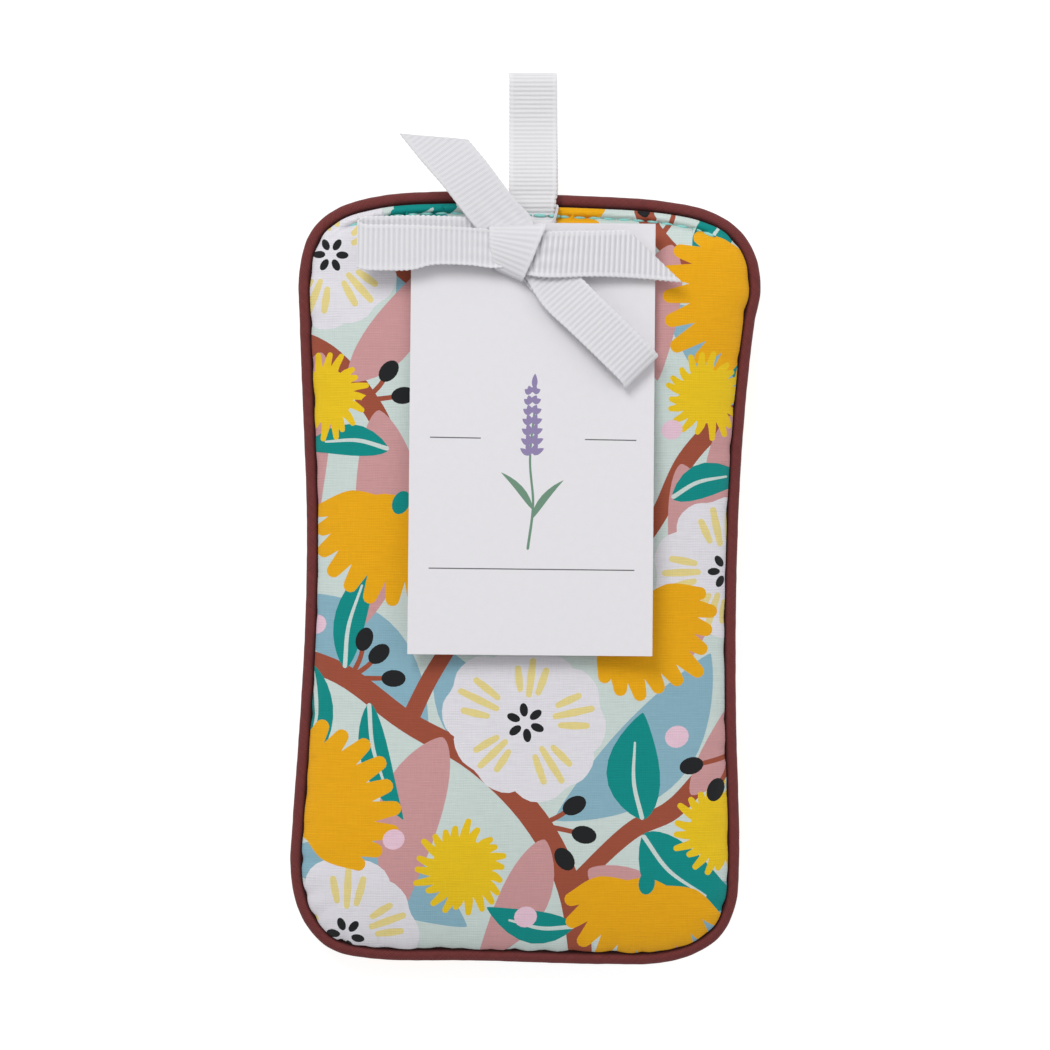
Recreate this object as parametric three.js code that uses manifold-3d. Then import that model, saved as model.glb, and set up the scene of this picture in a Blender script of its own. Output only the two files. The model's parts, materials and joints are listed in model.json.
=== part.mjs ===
import * as THREE from 'three';
import { mergeVertices } from 'three/addons/utils/BufferGeometryUtils.js';
import Module from 'manifold-3d';

// Lavender sachet: a piped cotton pillow, a ribbon loop to hang it by, and a card tied on with a ribbon bow.
// Millimetres, +Z up. It lies on its back with the loop towards +Y, centred on the floor under its middle.

const wasm = await Module();
wasm.setup();

// Pillow
const overallLength = 184.4;
const seamWidth = 94;
const seamHeight = 7.5;
const crownHeight = 18;
const baseCut = 0.5;
const clothThickness = 0.5;
const seamAllowance = 5;
const lipDepth = 2.6;
const foldRound = 0.3;
const coreWidthShare = 0.13;
const coreLengthShare = 0.46;

// Piping
const pipingRadius = 1.55;
const pipingWall = 0.35;
const flangeSlit = 0.3;
const flangeDepth = 5;

// Threads
const threadRadius = 0.2;
const seamThreadInset = 1;
const closingStitchInset = 1.2;
const stitchClimb = 2;

// Ribbon, card and bow
const ribbonWidth = 10;
const ribbonThickness = 0.45;
const hangOffset = 1.6;
const loopReach = 24.9;
const loopFootLength = 2.25;
const loopGapHeight = 4.6;
const loopFlatLength = 9;
const loopStartGap = 0.1;
const cardWidth = 50;
const cardLength = 88.6;
const cardThickness = 0.5;
const cardDrop = 4.9;
const cardTilt = THREE.MathUtils.degToRad(3);
const cardTurn = THREE.MathUtils.degToRad(-0.5);
const cardSwing = THREE.MathUtils.degToRad(10);
const holeInset = 5.8;
const holeRadius = 2.2;
const strandRadius = 0.55;
const strandBend = 1.25;

// Spaces between neighbours
const clearance = 0.3;
const fillingClearance = 0.4;

// How finely the curves are cut
const stationCount = 60;
const ribbonSteps = 26;
const strandSteps = 34;
const stitchSteps = 44;
const holeSides = 16;
const coverPoints = 8;
const borePoints = 6;
const cordSides = 6;
const threadSides = 4;
const loopSlopeSteps = 12;
const loopJoinedSteps = 3;
const loopFoldSteps = 10;

// The seam line as the middle of the piping, anticlockwise from the top, as shares of its half width and length
const seamShares = [
  [0.15, 0.991], [-0.375, 1], [-0.64, 0.988], [-0.813, 0.957], [-0.914, 0.904], [-0.96, 0.81],
  [-0.958, 0.66], [-0.945, 0.45], [-0.928, 0.16], [-0.935, -0.12], [-0.96, -0.39], [-0.99, -0.64],
  [-1, -0.76], [-0.982, -0.84], [-0.936, -0.905], [-0.844, -0.961], [-0.68, -0.985], [-0.2, -0.991],
  [0.33, -1], [0.59, -0.997], [0.73, -0.974], [0.835, -0.93], [0.89, -0.86], [0.906, -0.74],
  [0.892, -0.35], [0.893, -0.04], [0.91, 0.26], [0.94, 0.5], [0.975, 0.68], [1, 0.76],
  [0.984, 0.835], [0.923, 0.9], [0.81, 0.946], [0.61, 0.974],
];

// The shares of the half length and half width over which the lip grows in and fades out
const lipGrowShares = [0.86, 0.96];
const lipFadeShares = [0.75, 0.95];

// How far a point may move out at a sharp corner, as the least cosine of half its turn
const leastTurnCosine = 0.6;

// Where the rings of a panel lie: the first between lip and rim of the filling, the rest from rim to core
const shoulderRingShare = 0.25;
const crownRingShares = [0.17, 0.48, 1];

// Ribbon pieces of the bow, as pairs of edge points [along the card, up the card, above the card].
// They count in ribbon widths from the hole of the card.
const leftLoopShares = [
  [[-0.4, 0.25, 0.12], [-0.4, -0.25, 0.12]],
  [[-1, 0.56, 0.1], [-1, -0.35, 0.09]],
  [[-2.1, 0.67, 0.08], [-2.1, -0.28, 0.07]],
  [[-3.1, 0.67, 0.09], [-3.1, -0.3, 0.08]],
  [[-3.5, 0.66, 0.16], [-3.5, -0.36, 0.15]],
  [[-3.58, 0.61, 0.28], [-3.59, -0.38, 0.28]],
  [[-3.45, 0.56, 0.41], [-3.47, -0.39, 0.41]],
  [[-2.8, 0.52, 0.49], [-2.8, -0.37, 0.47]],
  [[-2.1, 0.49, 0.48], [-2.1, -0.33, 0.46]],
  [[-1.3, 0.42, 0.42], [-1.3, -0.27, 0.4]],
  [[-0.7, 0.32, 0.35], [-0.7, -0.2, 0.34]],
  [[-0.4, 0.22, 0.32], [-0.4, -0.15, 0.32]],
];
const lowerLoopShares = [
  [[0.02, 0.05, 0.1], [-0.45, -0.12, 0.1]],
  [[0.5, -0.2, 0.09], [-0.18, -0.76, 0.09]],
  [[1.46, -1.16, 0.07], [0.76, -1.79, 0.07]],
  [[2.2, -1.82, 0.07], [1.48, -2.52, 0.07]],
  [[2.5, -2.1, 0.13], [1.82, -2.8, 0.13]],
  [[2.57, -2.14, 0.23], [1.88, -2.83, 0.23]],
  [[2.5, -2.05, 0.32], [1.82, -2.72, 0.32]],
  [[2.05, -1.6, 0.36], [1.36, -2.26, 0.36]],
  [[1.45, -1.02, 0.33], [0.77, -1.66, 0.33]],
  [[0.95, -0.52, 0.24], [0.25, -1.15, 0.26]],
  [[0.5, -0.12, 0.18], [-0.1, -0.68, 0.18]],
  [[0.02, 0.1, 0.17], [-0.45, -0.08, 0.17]],
];
const rightTailShares = [
  [[-0.12, 0.3, 0.32], [-0.25, -0.2, 0.32]],
  [[0.58, 0.39, 0.35], [0.5, -0.53, 0.35]],
  [[1.2, 0.39, 0.31], [1.25, -0.55, 0.3]],
  [[1.7, 0.385, 0.23], [2.2, -0.58, 0.22]],
  [[1.96, 0.38, 0.18], [3.09, -0.65, 0.16]],
];
const leftTailShares = [
  [[-0.62, 0.02, 0.24], [-0.12, 0.25, 0.24]],
  [[-1.09, 0.43, 0.25], [-0.08, 0.66, 0.26]],
  [[-1.77, 1.32, 0.29], [-0.64, 1.38, 0.3]],
  [[-2.25, 1.84, 0.25], [-0.99, 1.81, 0.25]],
  [[-2.7, 2.37, 0.18], [-1.34, 2.25, 0.18]],
];

// Outline of the knot on the card, and its size at each height, also in ribbon widths
const knotOutlineShares = [
  [-0.87, 0.34], [-0.58, 0.5], [-0.1, 0.55], [0.31, 0.54], [0.29, 0.2],
  [0.12, -0.22], [-0.04, -0.54], [-0.18, -0.62], [-0.46, -0.47], [-0.76, -0.16],
];
const knotLevelShares = [[0.04, 0.82], [0.15, 1], [0.36, 0.97], [0.48, 0.72]];
const knotMiddleShare = [-0.25, 0];

// The gathered ribbon that ties the card on, at the card and knot, in ribbon widths from the hole
const strandDownShares = [[0, 0, 0.07], [0, 0, -0.04], [0.05, 0.05, -0.14], [0.3, 0.36, -0.34]];
const strandUpShares = [[-0.66, 0.78, -0.32], [-0.62, 0.74, -0.06], [-0.57, 0.64, 0.09], [-0.46, 0.38, 0.13]];

// Heights worked out from the layers that lie on each other at the seam
const flangeHalf = pipingWall + flangeSlit / 2;
const allowanceNear = flangeHalf + clearance;
const allowanceFar = allowanceNear + clothThickness;
const foldReach = allowanceFar + clearance + clothThickness;
const foldInset = pipingRadius + clearance;
const lipTop = seamHeight + foldReach;

// The pillow takes what the hanging loop leaves of the overall length
const seamLength = overallLength - loopReach - 2 * pipingRadius;
const seamMiddleY = -loopReach / 2;

// Joins loops of equally many points into one closed body, with its faces outwards
function loft(loops, closed) {
  const size = loops[0].length;
  const points = loops.flat();
  const faces = [];
  const lastLoop = closed ? loops.length : loops.length - 1;
  for (let i = 0; i < lastLoop; i += 1) {
    const here = i * size;
    const next = ((i + 1) % loops.length) * size;
    for (let j = 0; j < size; j += 1) {
      const k = (j + 1) % size;
      faces.push([here + j, next + j, next + k], [here + j, next + k, here + k]);
    }
  }
  if (!closed) {
    addCap(points, faces, loops[0], 0, false);
    addCap(points, faces, loops[loops.length - 1], (loops.length - 1) * size, true);
  }
  return bodyFrom(points, faces);
}

function addCap(points, faces, loop, first, forward) {
  const middle = loop.reduce((sum, point) => sum.add(point), new THREE.Vector3()).divideScalar(loop.length);
  const centre = points.push(middle) - 1;
  loop.forEach((point, j) => {
    const k = (j + 1) % loop.length;
    faces.push(forward ? [first + j, centre, first + k] : [first + k, centre, first + j]);
  });
}

function bodyFrom(points, faces) {
  const volume = faces.reduce((sum, [a, b, c]) => {
    return sum + points[a].dot(points[b].clone().cross(points[c]));
  }, 0);
  const outward = volume < 0 ? faces.map(([a, b, c]) => [a, c, b]) : faces;
  const geometry = new THREE.BufferGeometry();
  geometry.setAttribute('position', new THREE.Float32BufferAttribute(points.flatMap((p) => p.toArray()), 3));
  geometry.setIndex(outward.flat());
  geometry.computeVertexNormals();
  return geometry;
}

function toManifold(geometry) {
  const bare = geometry.clone();
  bare.deleteAttribute('normal');
  bare.deleteAttribute('uv');
  const merged = mergeVertices(bare);
  return new wasm.Manifold(new wasm.Mesh({
    numProp: 3,
    vertProperties: new Float32Array(merged.attributes.position.array),
    triVerts: new Uint32Array(merged.index.array),
  }));
}

function cutAway(geometry, tool) {
  const mesh = toManifold(geometry).subtract(toManifold(tool)).getMesh();
  const result = new THREE.BufferGeometry();
  result.setAttribute('position', new THREE.Float32BufferAttribute(mesh.vertProperties, 3));
  result.setIndex(Array.from(mesh.triVerts));
  result.computeVertexNormals();
  return result;
}

// Places along the seam: the point, the way in, the way to the core of the pillow, and how much lip there is
function seamStations() {
  const corners = seamShares.map(([across, along]) => {
    return new THREE.Vector3(across * seamWidth / 2, seamMiddleY + along * seamLength / 2, 0);
  });
  const curve = new THREE.CatmullRomCurve3(corners, true, 'centripetal');
  return Array.from({ length: stationCount }, (_, i) => {
    const share = i / stationCount;
    const point = curve.getPoint(share);
    const tangent = curve.getTangent(share);
    const inward = new THREE.Vector3(-tangent.y, tangent.x, 0).normalize();
    const edge = point.clone().addScaledVector(inward, foldInset);
    const core = new THREE.Vector3(
      point.x * coreWidthShare,
      seamMiddleY + (point.y - seamMiddleY) * coreLengthShare,
      0,
    );
    const toCore = core.clone().sub(edge);
    const reach = toCore.length();
    const lip = foldRound + (lipDepth - foldRound) * lipWeight(point);
    return { point, inward, edge, toCore: toCore.normalize(), reach, lip };
  });
}

// The closing stitch holds a flat lip along the top seam, which fades out towards the corners
function lipWeight(point) {
  const along = (point.y - seamMiddleY) / (seamLength / 2);
  const across = Math.abs(point.x) / (seamWidth / 2);
  const grown = THREE.MathUtils.smoothstep(along, ...lipGrowShares);
  return grown * (1 - THREE.MathUtils.smoothstep(across, ...lipFadeShares));
}

const stations = seamStations();

// The filling starts inside the seam allowances, at one share of the way in that is clear of them all round
const rimShare = Math.max(...stations.map(({ toCore, inward, lip, reach }) => {
  return ((seamAllowance + fillingClearance) / toCore.dot(inward) - lip) / (reach - lip);
}));

function swell(share) {
  return Math.sqrt(1 - (1 - share) ** 2);
}

// The shares of the way in at which a panel has its rings. The back has one where it first meets the floor
function ringShares(side, start) {
  const edge = [rimShare * shoulderRingShare, rimShare];
  if (side > 0) {
    return [...edge, ...crownRingShares.map((share) => rimShare + share * (1 - rimShare))];
  }
  const flatShare = 1 - Math.sqrt(1 - (start / (start + baseCut)) ** 2);
  return [...edge, (rimShare + flatShare) / 2, flatShare, 1];
}

// One ray of a panel's outer face, from the seam to the core, as [distance in, height]
function outerLine(station, side) {
  const start = seamHeight + side * foldReach;
  const rise = side > 0 ? crownHeight - start : -(start + baseCut);
  const rings = ringShares(side, start).map((share) => {
    const inwards = station.lip + share * (station.reach - station.lip);
    return [inwards, Math.max(0, start + rise * swell(share))];
  });
  return [[0, start], [station.lip, start], ...rings];
}

// The same ray moved into the pillow by a distance, square to the cloth
function innerLine(line, side, distance) {
  const normals = line.slice(1).map(([inwards, height], i) => {
    const run = inwards - line[i][0];
    const rise = side * (height - line[i][1]);
    return new THREE.Vector2(rise, -side * run).normalize();
  });
  return line.map(([inwards, height], i) => {
    const before = i > 0 ? normals[i - 1] : new THREE.Vector2(1, 0);
    const after = i < normals.length ? normals[i] : new THREE.Vector2(0, -side);
    const middle = before.clone().add(after).normalize();
    const stretch = distance / Math.max(middle.dot(before), leastTurnCosine);
    return [inwards + middle.x * stretch, height + middle.y * stretch];
  });
}

function alongRay(station, [inwards, height]) {
  const point = station.edge.clone().addScaledVector(station.toCore, inwards);
  point.z = height;
  return point;
}

function squareIn(station, inset, height) {
  const point = station.point.clone().addScaledVector(station.inward, inset);
  point.z = height;
  return point;
}

function ringsOf(loopAtStation) {
  const loops = stations.map(loopAtStation);
  return loops[0].map((_, i) => loops.map((loop) => loop[i]));
}

// A panel of thin cloth: the crowned face, the fold at the seam, and the allowance that is turned in
function clothPanel(side) {
  const near = seamHeight + side * allowanceNear;
  const far = seamHeight + side * allowanceFar;
  const end = foldInset + seamAllowance;
  return loft(ringsOf((station) => {
    const outer = outerLine(station, side);
    const inner = innerLine(outer, side, clothThickness);
    return [
      ...outer.map((place) => alongRay(station, place)).reverse(),
      squareIn(station, foldInset, near),
      squareIn(station, end, near),
      squareIn(station, end, far),
      squareIn(station, foldInset + clothThickness, far),
      ...inner.map((place) => alongRay(station, place)),
    ];
  }), false);
}

// Dried lavender, packed against both panels and stopping short of the seam allowances
function lavenderFilling() {
  const depth = clothThickness + fillingClearance;
  const edgeRings = 3;
  const half = (station, side) => {
    const line = innerLine(outerLine(station, side), side, depth);
    return line.slice(edgeRings).map((place) => alongRay(station, place));
  };
  return loft(ringsOf((station) => [...half(station, 1).reverse(), ...half(station, -1)]), false);
}

// The bias strip: a tube round the cord, with both its edges lying together inside the seam
function pipingCover() {
  const boreRadius = pipingRadius - pipingWall;
  const outside = arcPlaces(pipingRadius, flangeHalf, coverPoints);
  const inside = arcPlaces(boreRadius, flangeSlit / 2, borePoints).reverse();
  const profile = [
    [flangeDepth + foldInset, flangeHalf],
    ...outside,
    [flangeDepth + foldInset, -flangeHalf],
    [flangeDepth + foldInset, -flangeSlit / 2],
    ...inside,
    [flangeDepth + foldInset, flangeSlit / 2],
  ];
  return sweepSeam(() => profile);
}

// Points round a circle from just above the flange, over the outside, to just below it, as [inset, height]
function arcPlaces(radius, flange, count) {
  const start = Math.asin(flange / radius);
  const sweep = 2 * (Math.PI - start);
  return Array.from({ length: count }, (_, i) => {
    const angle = start + sweep * i / (count - 1);
    return [radius * Math.cos(angle), radius * Math.sin(angle)];
  });
}

// Carries a profile of [inset, height] round the whole seam
function sweepSeam(profileAt) {
  const loops = stations.map((station) => {
    return profileAt(station).map(([inset, height]) => squareIn(station, inset, seamHeight + height));
  });
  return loft(loops, true);
}

function circlePlaces(radius, sides, inset, height) {
  return Array.from({ length: sides }, (_, i) => {
    const angle = 2 * Math.PI * i / sides;
    return [inset + radius * Math.cos(angle), height + radius * Math.sin(angle)];
  });
}

function pipingCord() {
  return sweepSeam(() => circlePlaces(pipingRadius - pipingWall - clearance, cordSides, 0, 0));
}

// The line of thread that joins the panels to the piping, on the inside of the front allowance
function seamThread() {
  const height = allowanceFar + clearance + threadRadius;
  return sweepSeam(({ lip }) => circlePlaces(threadRadius, threadSides, foldInset + lip + seamThreadInset, height));
}

// The highest station and the seam's place over a given point across
function seamTopAt(across) {
  const top = stations.filter(({ point }) => point.y > seamMiddleY);
  const sorted = top.sort((a, b) => a.point.x - b.point.x);
  const i = sorted.findIndex(({ point }) => point.x > across);
  const [low, high] = [sorted[i - 1].point, sorted[i].point];
  return low.y + (high.y - low.y) * (across - low.x) / (high.x - low.x);
}

const hangSeamY = seamTopAt(hangOffset);
const lipEdgeY = hangSeamY - foldInset;
const footEndY = lipEdgeY - loopFootLength;
const footBottom = lipTop + clearance;
const archBottom = footBottom + 2 * strandRadius + clearance;
const hingeY = hangSeamY + pipingRadius + clearance / 2;
const loopSides = [hangOffset - ribbonWidth / 2, hangOffset + ribbonWidth / 2];

// A shape in the plane of Y and Z, made as wide as the ribbon
function acrossRibbon(outline, holes) {
  const shape = new THREE.Shape(outline);
  shape.holes = holes.map((points) => new THREE.Path(points));
  const geometry = new THREE.ExtrudeGeometry(shape, { depth: ribbonWidth, bevelEnabled: false });
  const turn = new THREE.Matrix4().makeBasis(
    new THREE.Vector3(0, 1, 0),
    new THREE.Vector3(0, 0, 1),
    new THREE.Vector3(1, 0, 0),
  );
  return geometry.applyMatrix4(turn).translate(loopSides[0], 0, 0);
}

const footThickness = 2 * ribbonThickness;
const footOverPiping = seamHeight + pipingRadius + clearance + strandRadius;
const footHingeGap = Math.hypot(loopStartGap, footThickness / 2) + loopStartGap;

// The sewn foot of the hanging loop: both layers lie on the lip and pass over the tying strand and the piping
function loopFoot() {
  const strandHalf = strandRadius + clearance;
  const under = [
    [footEndY, footBottom],
    [lipEdgeY - strandHalf, footBottom],
    [lipEdgeY, archBottom],
    [hangSeamY, archBottom],
    [hingeY - footHingeGap, footOverPiping],
  ].map(([along, height]) => new THREE.Vector2(along, height));
  const over = under.map(({ x, y }) => new THREE.Vector2(x, y + footThickness)).reverse();
  return acrossRibbon([...under, ...over], []);
}

const hingeHeight = footOverPiping + footThickness / 2;
const loopTipY = overallLength / 2;
const loopOuterRadius = loopGapHeight / 2 + ribbonThickness;

// The free part of the hanging loop: it slopes down to the floor and opens into a soft fold
function hangingLoop() {
  const foldY = loopTipY - loopOuterRadius;
  const bottom = loopLayer(foldY, hingeHeight - footThickness / 2, 0);
  const top = loopLayer(foldY, hingeHeight + footThickness / 2, 2 * loopOuterRadius);
  const fold = foldPlaces(foldY, loopOuterRadius, loopOuterRadius, loopFoldSteps);
  const outline = [...bottom, ...fold, ...top.slice().reverse()];
  const innerFold = foldPlaces(foldY, loopOuterRadius, loopOuterRadius - ribbonThickness, loopFoldSteps);
  const innerBottom = offsetPlaces(bottom, ribbonThickness).slice(loopJoinedSteps);
  const innerTop = offsetPlaces(top, -ribbonThickness).slice(loopJoinedSteps);
  return acrossRibbon(outline, [[...innerBottom, ...innerFold, ...innerTop.reverse()]]);
}

// One layer of the loop, from its hinge down to the stretch that lies level before the fold
function loopLayer(foldY, startHeight, endHeight) {
  const startY = hingeY + loopStartGap;
  const slopeEnd = foldY - loopFlatLength + loopOuterRadius;
  const slope = Array.from({ length: loopSlopeSteps + 1 }, (_, i) => {
    const share = i / loopSlopeSteps;
    const height = startHeight + (endHeight - startHeight) * THREE.MathUtils.smoothstep(share, 0, 1);
    return new THREE.Vector2(startY + share * (slopeEnd - startY), height);
  });
  return [...slope, new THREE.Vector2(foldY, endHeight)];
}

// The points of a half circle that opens to -Y, without its two ends
function foldPlaces(along, height, radius, count) {
  return Array.from({ length: count - 1 }, (_, i) => {
    const angle = Math.PI * (i + 1) / count - Math.PI / 2;
    return new THREE.Vector2(along + radius * Math.cos(angle), height + radius * Math.sin(angle));
  });
}

function offsetPlaces(places, distance) {
  return places.map((place, i) => {
    const before = places[Math.max(i - 1, 0)];
    const after = places[Math.min(i + 1, places.length - 1)];
    const way = after.clone().sub(before).normalize();
    return new THREE.Vector2(place.x - way.y * distance, place.y + way.x * distance);
  });
}

// The card lies on the crown, tilted down to where it is tied, and clear of the pillow as it swings
function cardPlane() {
  const turn = new THREE.Matrix4().makeRotationZ(cardTurn);
  const tilt = new THREE.Matrix4().makeRotationX(-cardTilt);
  const basis = turn.multiply(tilt);
  const hole = new THREE.Vector3(hangOffset, hangSeamY - cardDrop - holeInset, 0);
  const reach = cardWidth / 2 + cardLength * Math.sin(cardSwing);
  const lifts = stations.flatMap((station) => outerLine(station, 1).map((place) => {
    const local = alongRay(station, place).sub(hole);
    const under = Math.abs(local.x) < reach && local.y < holeInset + clearance;
    return under ? local.z + local.y * Math.tan(cardTilt) : 0;
  }));
  const swingSpare = clearance / 2;
  hole.z = Math.max(...lifts) + clearance + swingSpare + cardThickness / Math.cos(cardTilt);
  return basis.setPosition(hole);
}

const cardMatrix = cardPlane();

function onCard([along, up, above]) {
  return new THREE.Vector3(along, up, above).multiplyScalar(ribbonWidth).applyMatrix4(cardMatrix);
}

// The card with its punched hole, and its printed face up
function swingTag() {
  const top = holeInset;
  const bottom = holeInset - cardLength;
  const shape = new THREE.Shape([
    new THREE.Vector2(-cardWidth / 2, bottom),
    new THREE.Vector2(cardWidth / 2, bottom),
    new THREE.Vector2(cardWidth / 2, top),
    new THREE.Vector2(-cardWidth / 2, top),
  ]);
  const punched = new THREE.Path().absarc(0, 0, holeRadius, 0, 2 * Math.PI, true);
  shape.holes = [new THREE.Path(punched.getPoints(holeSides / 2))];
  const geometry = new THREE.ExtrudeGeometry(shape, { depth: cardThickness, bevelEnabled: false });
  return geometry.translate(0, 0, -cardThickness).applyMatrix4(cardMatrix);
}

// A flat length of ribbon through pairs of edge points
function ribbonPiece(pairs) {
  const edges = [0, 1].map((edge) => {
    const points = pairs.map((pair) => onCard(pair[edge]));
    return new THREE.CatmullRomCurve3(points, false, 'centripetal').getPoints(ribbonSteps);
  });
  const loops = edges[0].map((left, i) => {
    const right = edges[1][i];
    const last = edges[0].length - 1;
    const before = edges[0][Math.max(i - 1, 0)].clone().add(edges[1][Math.max(i - 1, 0)]);
    const after = edges[0][Math.min(i + 1, last)].clone().add(edges[1][Math.min(i + 1, last)]);
    const face = after.sub(before).cross(right.clone().sub(left)).normalize();
    const half = face.multiplyScalar(ribbonThickness / 2);
    return [
      left.clone().add(half), right.clone().add(half), right.clone().sub(half), left.clone().sub(half),
    ];
  });
  return loft(loops, false);
}

// The knot as a soft pebble. With spare room it is the tool that clears it from the ribbon around it
function knotBody(spare) {
  const grow = 1 + spare / (ribbonWidth / 2);
  const last = knotLevelShares.length - 1;
  const loops = knotLevelShares.map(([height, size], i) => {
    const lower = i === 0 ? -spare / ribbonWidth : 0;
    const higher = i === last ? spare / ribbonWidth : 0;
    return knotOutlineShares.map(([along, up]) => onCard([
      knotMiddleShare[0] + (along - knotMiddleShare[0]) * size * grow,
      knotMiddleShare[1] + (up - knotMiddleShare[1]) * size * grow,
      height + lower + higher,
    ]));
  });
  return loft(loops, false);
}

const knotRoom = knotBody(clearance);

function bowPiece(pairs) {
  return cutAway(ribbonPiece(pairs), knotRoom);
}

function tubeAlong(points, radius, sides, steps) {
  const section = new THREE.Shape(Array.from({ length: sides }, (_, i) => {
    const angle = 2 * Math.PI * i / sides;
    return new THREE.Vector2(radius * Math.cos(angle), radius * Math.sin(angle));
  }));
  const extrudePath = new THREE.CatmullRomCurve3(points, false, 'centripetal');
  return new THREE.ExtrudeGeometry(section, { steps, extrudePath, bevelEnabled: false });
}

// The gathered ribbon from the knot, down through the card, round under the loop's foot and up to the knot
function tieStrand() {
  const sideRoom = strandRadius + clearance;
  const height = footBottom + strandRadius;
  const along = (lipEdgeY + hangSeamY) / 2;
  const rightX = loopSides[1] + sideRoom;
  const leftX = loopSides[0] - sideRoom;
  const points = [
    ...strandDownShares.map(onCard),
    new THREE.Vector3(rightX, along - strandBend, height + strandBend),
    new THREE.Vector3(rightX - strandRadius, along, height),
    new THREE.Vector3(hangOffset, along, height),
    new THREE.Vector3(leftX + strandRadius, along, height),
    new THREE.Vector3(leftX, along, height + strandRadius),
    ...strandUpShares.map(onCard),
  ];
  return cutAway(tubeAlong(points, strandRadius, cordSides, strandSteps), knotRoom);
}

// The thread of the closing stitch, lying on the lip and over the foot of the loop
function closingStitch() {
  const ends = stations.filter(({ lip, point }) => lip > lipDepth / 2 && point.y > seamMiddleY);
  const sorted = ends.sort((a, b) => a.point.x - b.point.x);
  const sideRoom = threadRadius + clearance;
  const height = lipTop + clearance + threadRadius;
  const overFoot = footBottom + footThickness + clearance + threadRadius;
  const onLip = sorted.map((station) => squareIn(station, foldInset + closingStitchInset, height));
  const left = onLip.filter(({ x }) => x < loopSides[0] - stitchClimb - sideRoom);
  const right = onLip.filter(({ x }) => x > loopSides[1] + stitchClimb + sideRoom);
  const crossing = [
    [loopSides[0] - stitchClimb, height],
    [loopSides[0] - stitchClimb / 2, (height + overFoot) / 2],
    [loopSides[0], overFoot],
    [loopSides[1], overFoot],
    [loopSides[1] + stitchClimb / 2, (height + overFoot) / 2],
    [loopSides[1] + stitchClimb, height],
  ].map(([across, up]) => {
    return new THREE.Vector3(across, seamTopAt(across) - foldInset - closingStitchInset, up);
  });
  return tubeAlong([...left, ...crossing, ...right], threadRadius, threadSides, stitchSteps);
}

const cotton = { color: 0xcbd9d5, roughness: 0.9, metalness: 0 };
const maroon = { color: 0x6a3939, roughness: 0.85, metalness: 0 };
const cord = { color: 0xe6e0d2, roughness: 0.95, metalness: 0 };
const lavender = { color: 0x7d7396, roughness: 1, metalness: 0 };
const aquaThread = { color: 0x6fc9c4, roughness: 0.7, metalness: 0 };
const grosgrain = { color: 0xe4e3e5, roughness: 0.75, metalness: 0 };
const whiteCard = { color: 0xdedde0, roughness: 0.6, metalness: 0 };

const pieces = {
  front_panel: [clothPanel(1), cotton],
  back_panel: [clothPanel(-1), cotton],
  piping_cover: [pipingCover(), maroon],
  piping_cord: [pipingCord(), cord],
  lavender_filling: [lavenderFilling(), lavender],
  seam_thread: [seamThread(), aquaThread],
  closing_stitch: [closingStitch(), aquaThread],
  hanging_loop_foot: [loopFoot(), grosgrain],
  hanging_loop: [hangingLoop(), grosgrain],
  swing_tag: [swingTag(), whiteCard],
  tie_strand: [tieStrand(), grosgrain],
  bow_knot: [knotBody(0), grosgrain],
  bow_loop_left: [bowPiece(leftLoopShares), grosgrain],
  bow_loop_lower: [bowPiece(lowerLoopShares), grosgrain],
  bow_tail_right: [bowPiece(rightTailShares), grosgrain],
  bow_tail_left: [bowPiece(leftTailShares), grosgrain],
};

const sachet = new THREE.Group();
for (const [name, [geometry, finish]] of Object.entries(pieces)) {
  const mesh = new THREE.Mesh(geometry, new THREE.MeshStandardMaterial(finish));
  mesh.name = name;
  sachet.add(mesh);
}

export default sachet;
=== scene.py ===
"""Lavender sachet: a piped cotton pillow with a hanging loop, and a card tied on with a ribbon bow."""

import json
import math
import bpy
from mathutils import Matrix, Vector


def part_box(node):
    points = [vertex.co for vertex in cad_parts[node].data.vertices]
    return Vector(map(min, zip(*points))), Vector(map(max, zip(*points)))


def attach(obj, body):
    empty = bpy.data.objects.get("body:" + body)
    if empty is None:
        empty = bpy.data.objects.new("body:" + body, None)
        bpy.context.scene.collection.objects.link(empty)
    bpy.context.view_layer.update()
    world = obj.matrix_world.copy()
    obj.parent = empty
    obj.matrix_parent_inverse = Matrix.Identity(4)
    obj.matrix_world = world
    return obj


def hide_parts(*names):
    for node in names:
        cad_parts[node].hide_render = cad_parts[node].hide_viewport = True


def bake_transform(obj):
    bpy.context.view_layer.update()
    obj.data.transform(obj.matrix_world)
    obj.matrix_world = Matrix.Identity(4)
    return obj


bl_info = {
    "name": "Lavender Sachet",
    "version": (1, 0, 0),
    "blender": (4, 5, 0),
    "location": "3D View > Sidebar > Sachet",
    "description": "Sews a piped lavender sachet and ties a card on it with a grosgrain bow",
    "category": "Add Mesh",
}

import bpy
import numpy as np
from bpy.props import FloatProperty, FloatVectorProperty, PointerProperty
from mathutils import Matrix, Vector, geometry, noise
from mathutils.bvhtree import BVHTree
from mathutils.kdtree import KDTree

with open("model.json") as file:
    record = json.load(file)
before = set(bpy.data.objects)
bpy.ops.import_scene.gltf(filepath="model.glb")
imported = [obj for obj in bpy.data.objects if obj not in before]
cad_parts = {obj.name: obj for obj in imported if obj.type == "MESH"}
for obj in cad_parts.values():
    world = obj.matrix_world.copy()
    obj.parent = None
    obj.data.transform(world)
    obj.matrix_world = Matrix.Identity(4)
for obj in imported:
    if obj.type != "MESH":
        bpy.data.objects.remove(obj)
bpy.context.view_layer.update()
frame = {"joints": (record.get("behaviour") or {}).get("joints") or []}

MM = 0.001
# How far a piece stays clear of what it lies on
CLEARANCE = 0.05 * MM
LOOP_LOW, LOOP_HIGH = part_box("hanging_loop")
FOOT_LOW, FOOT_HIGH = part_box("hanging_loop_foot")
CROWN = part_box("front_panel")[1].z


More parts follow.
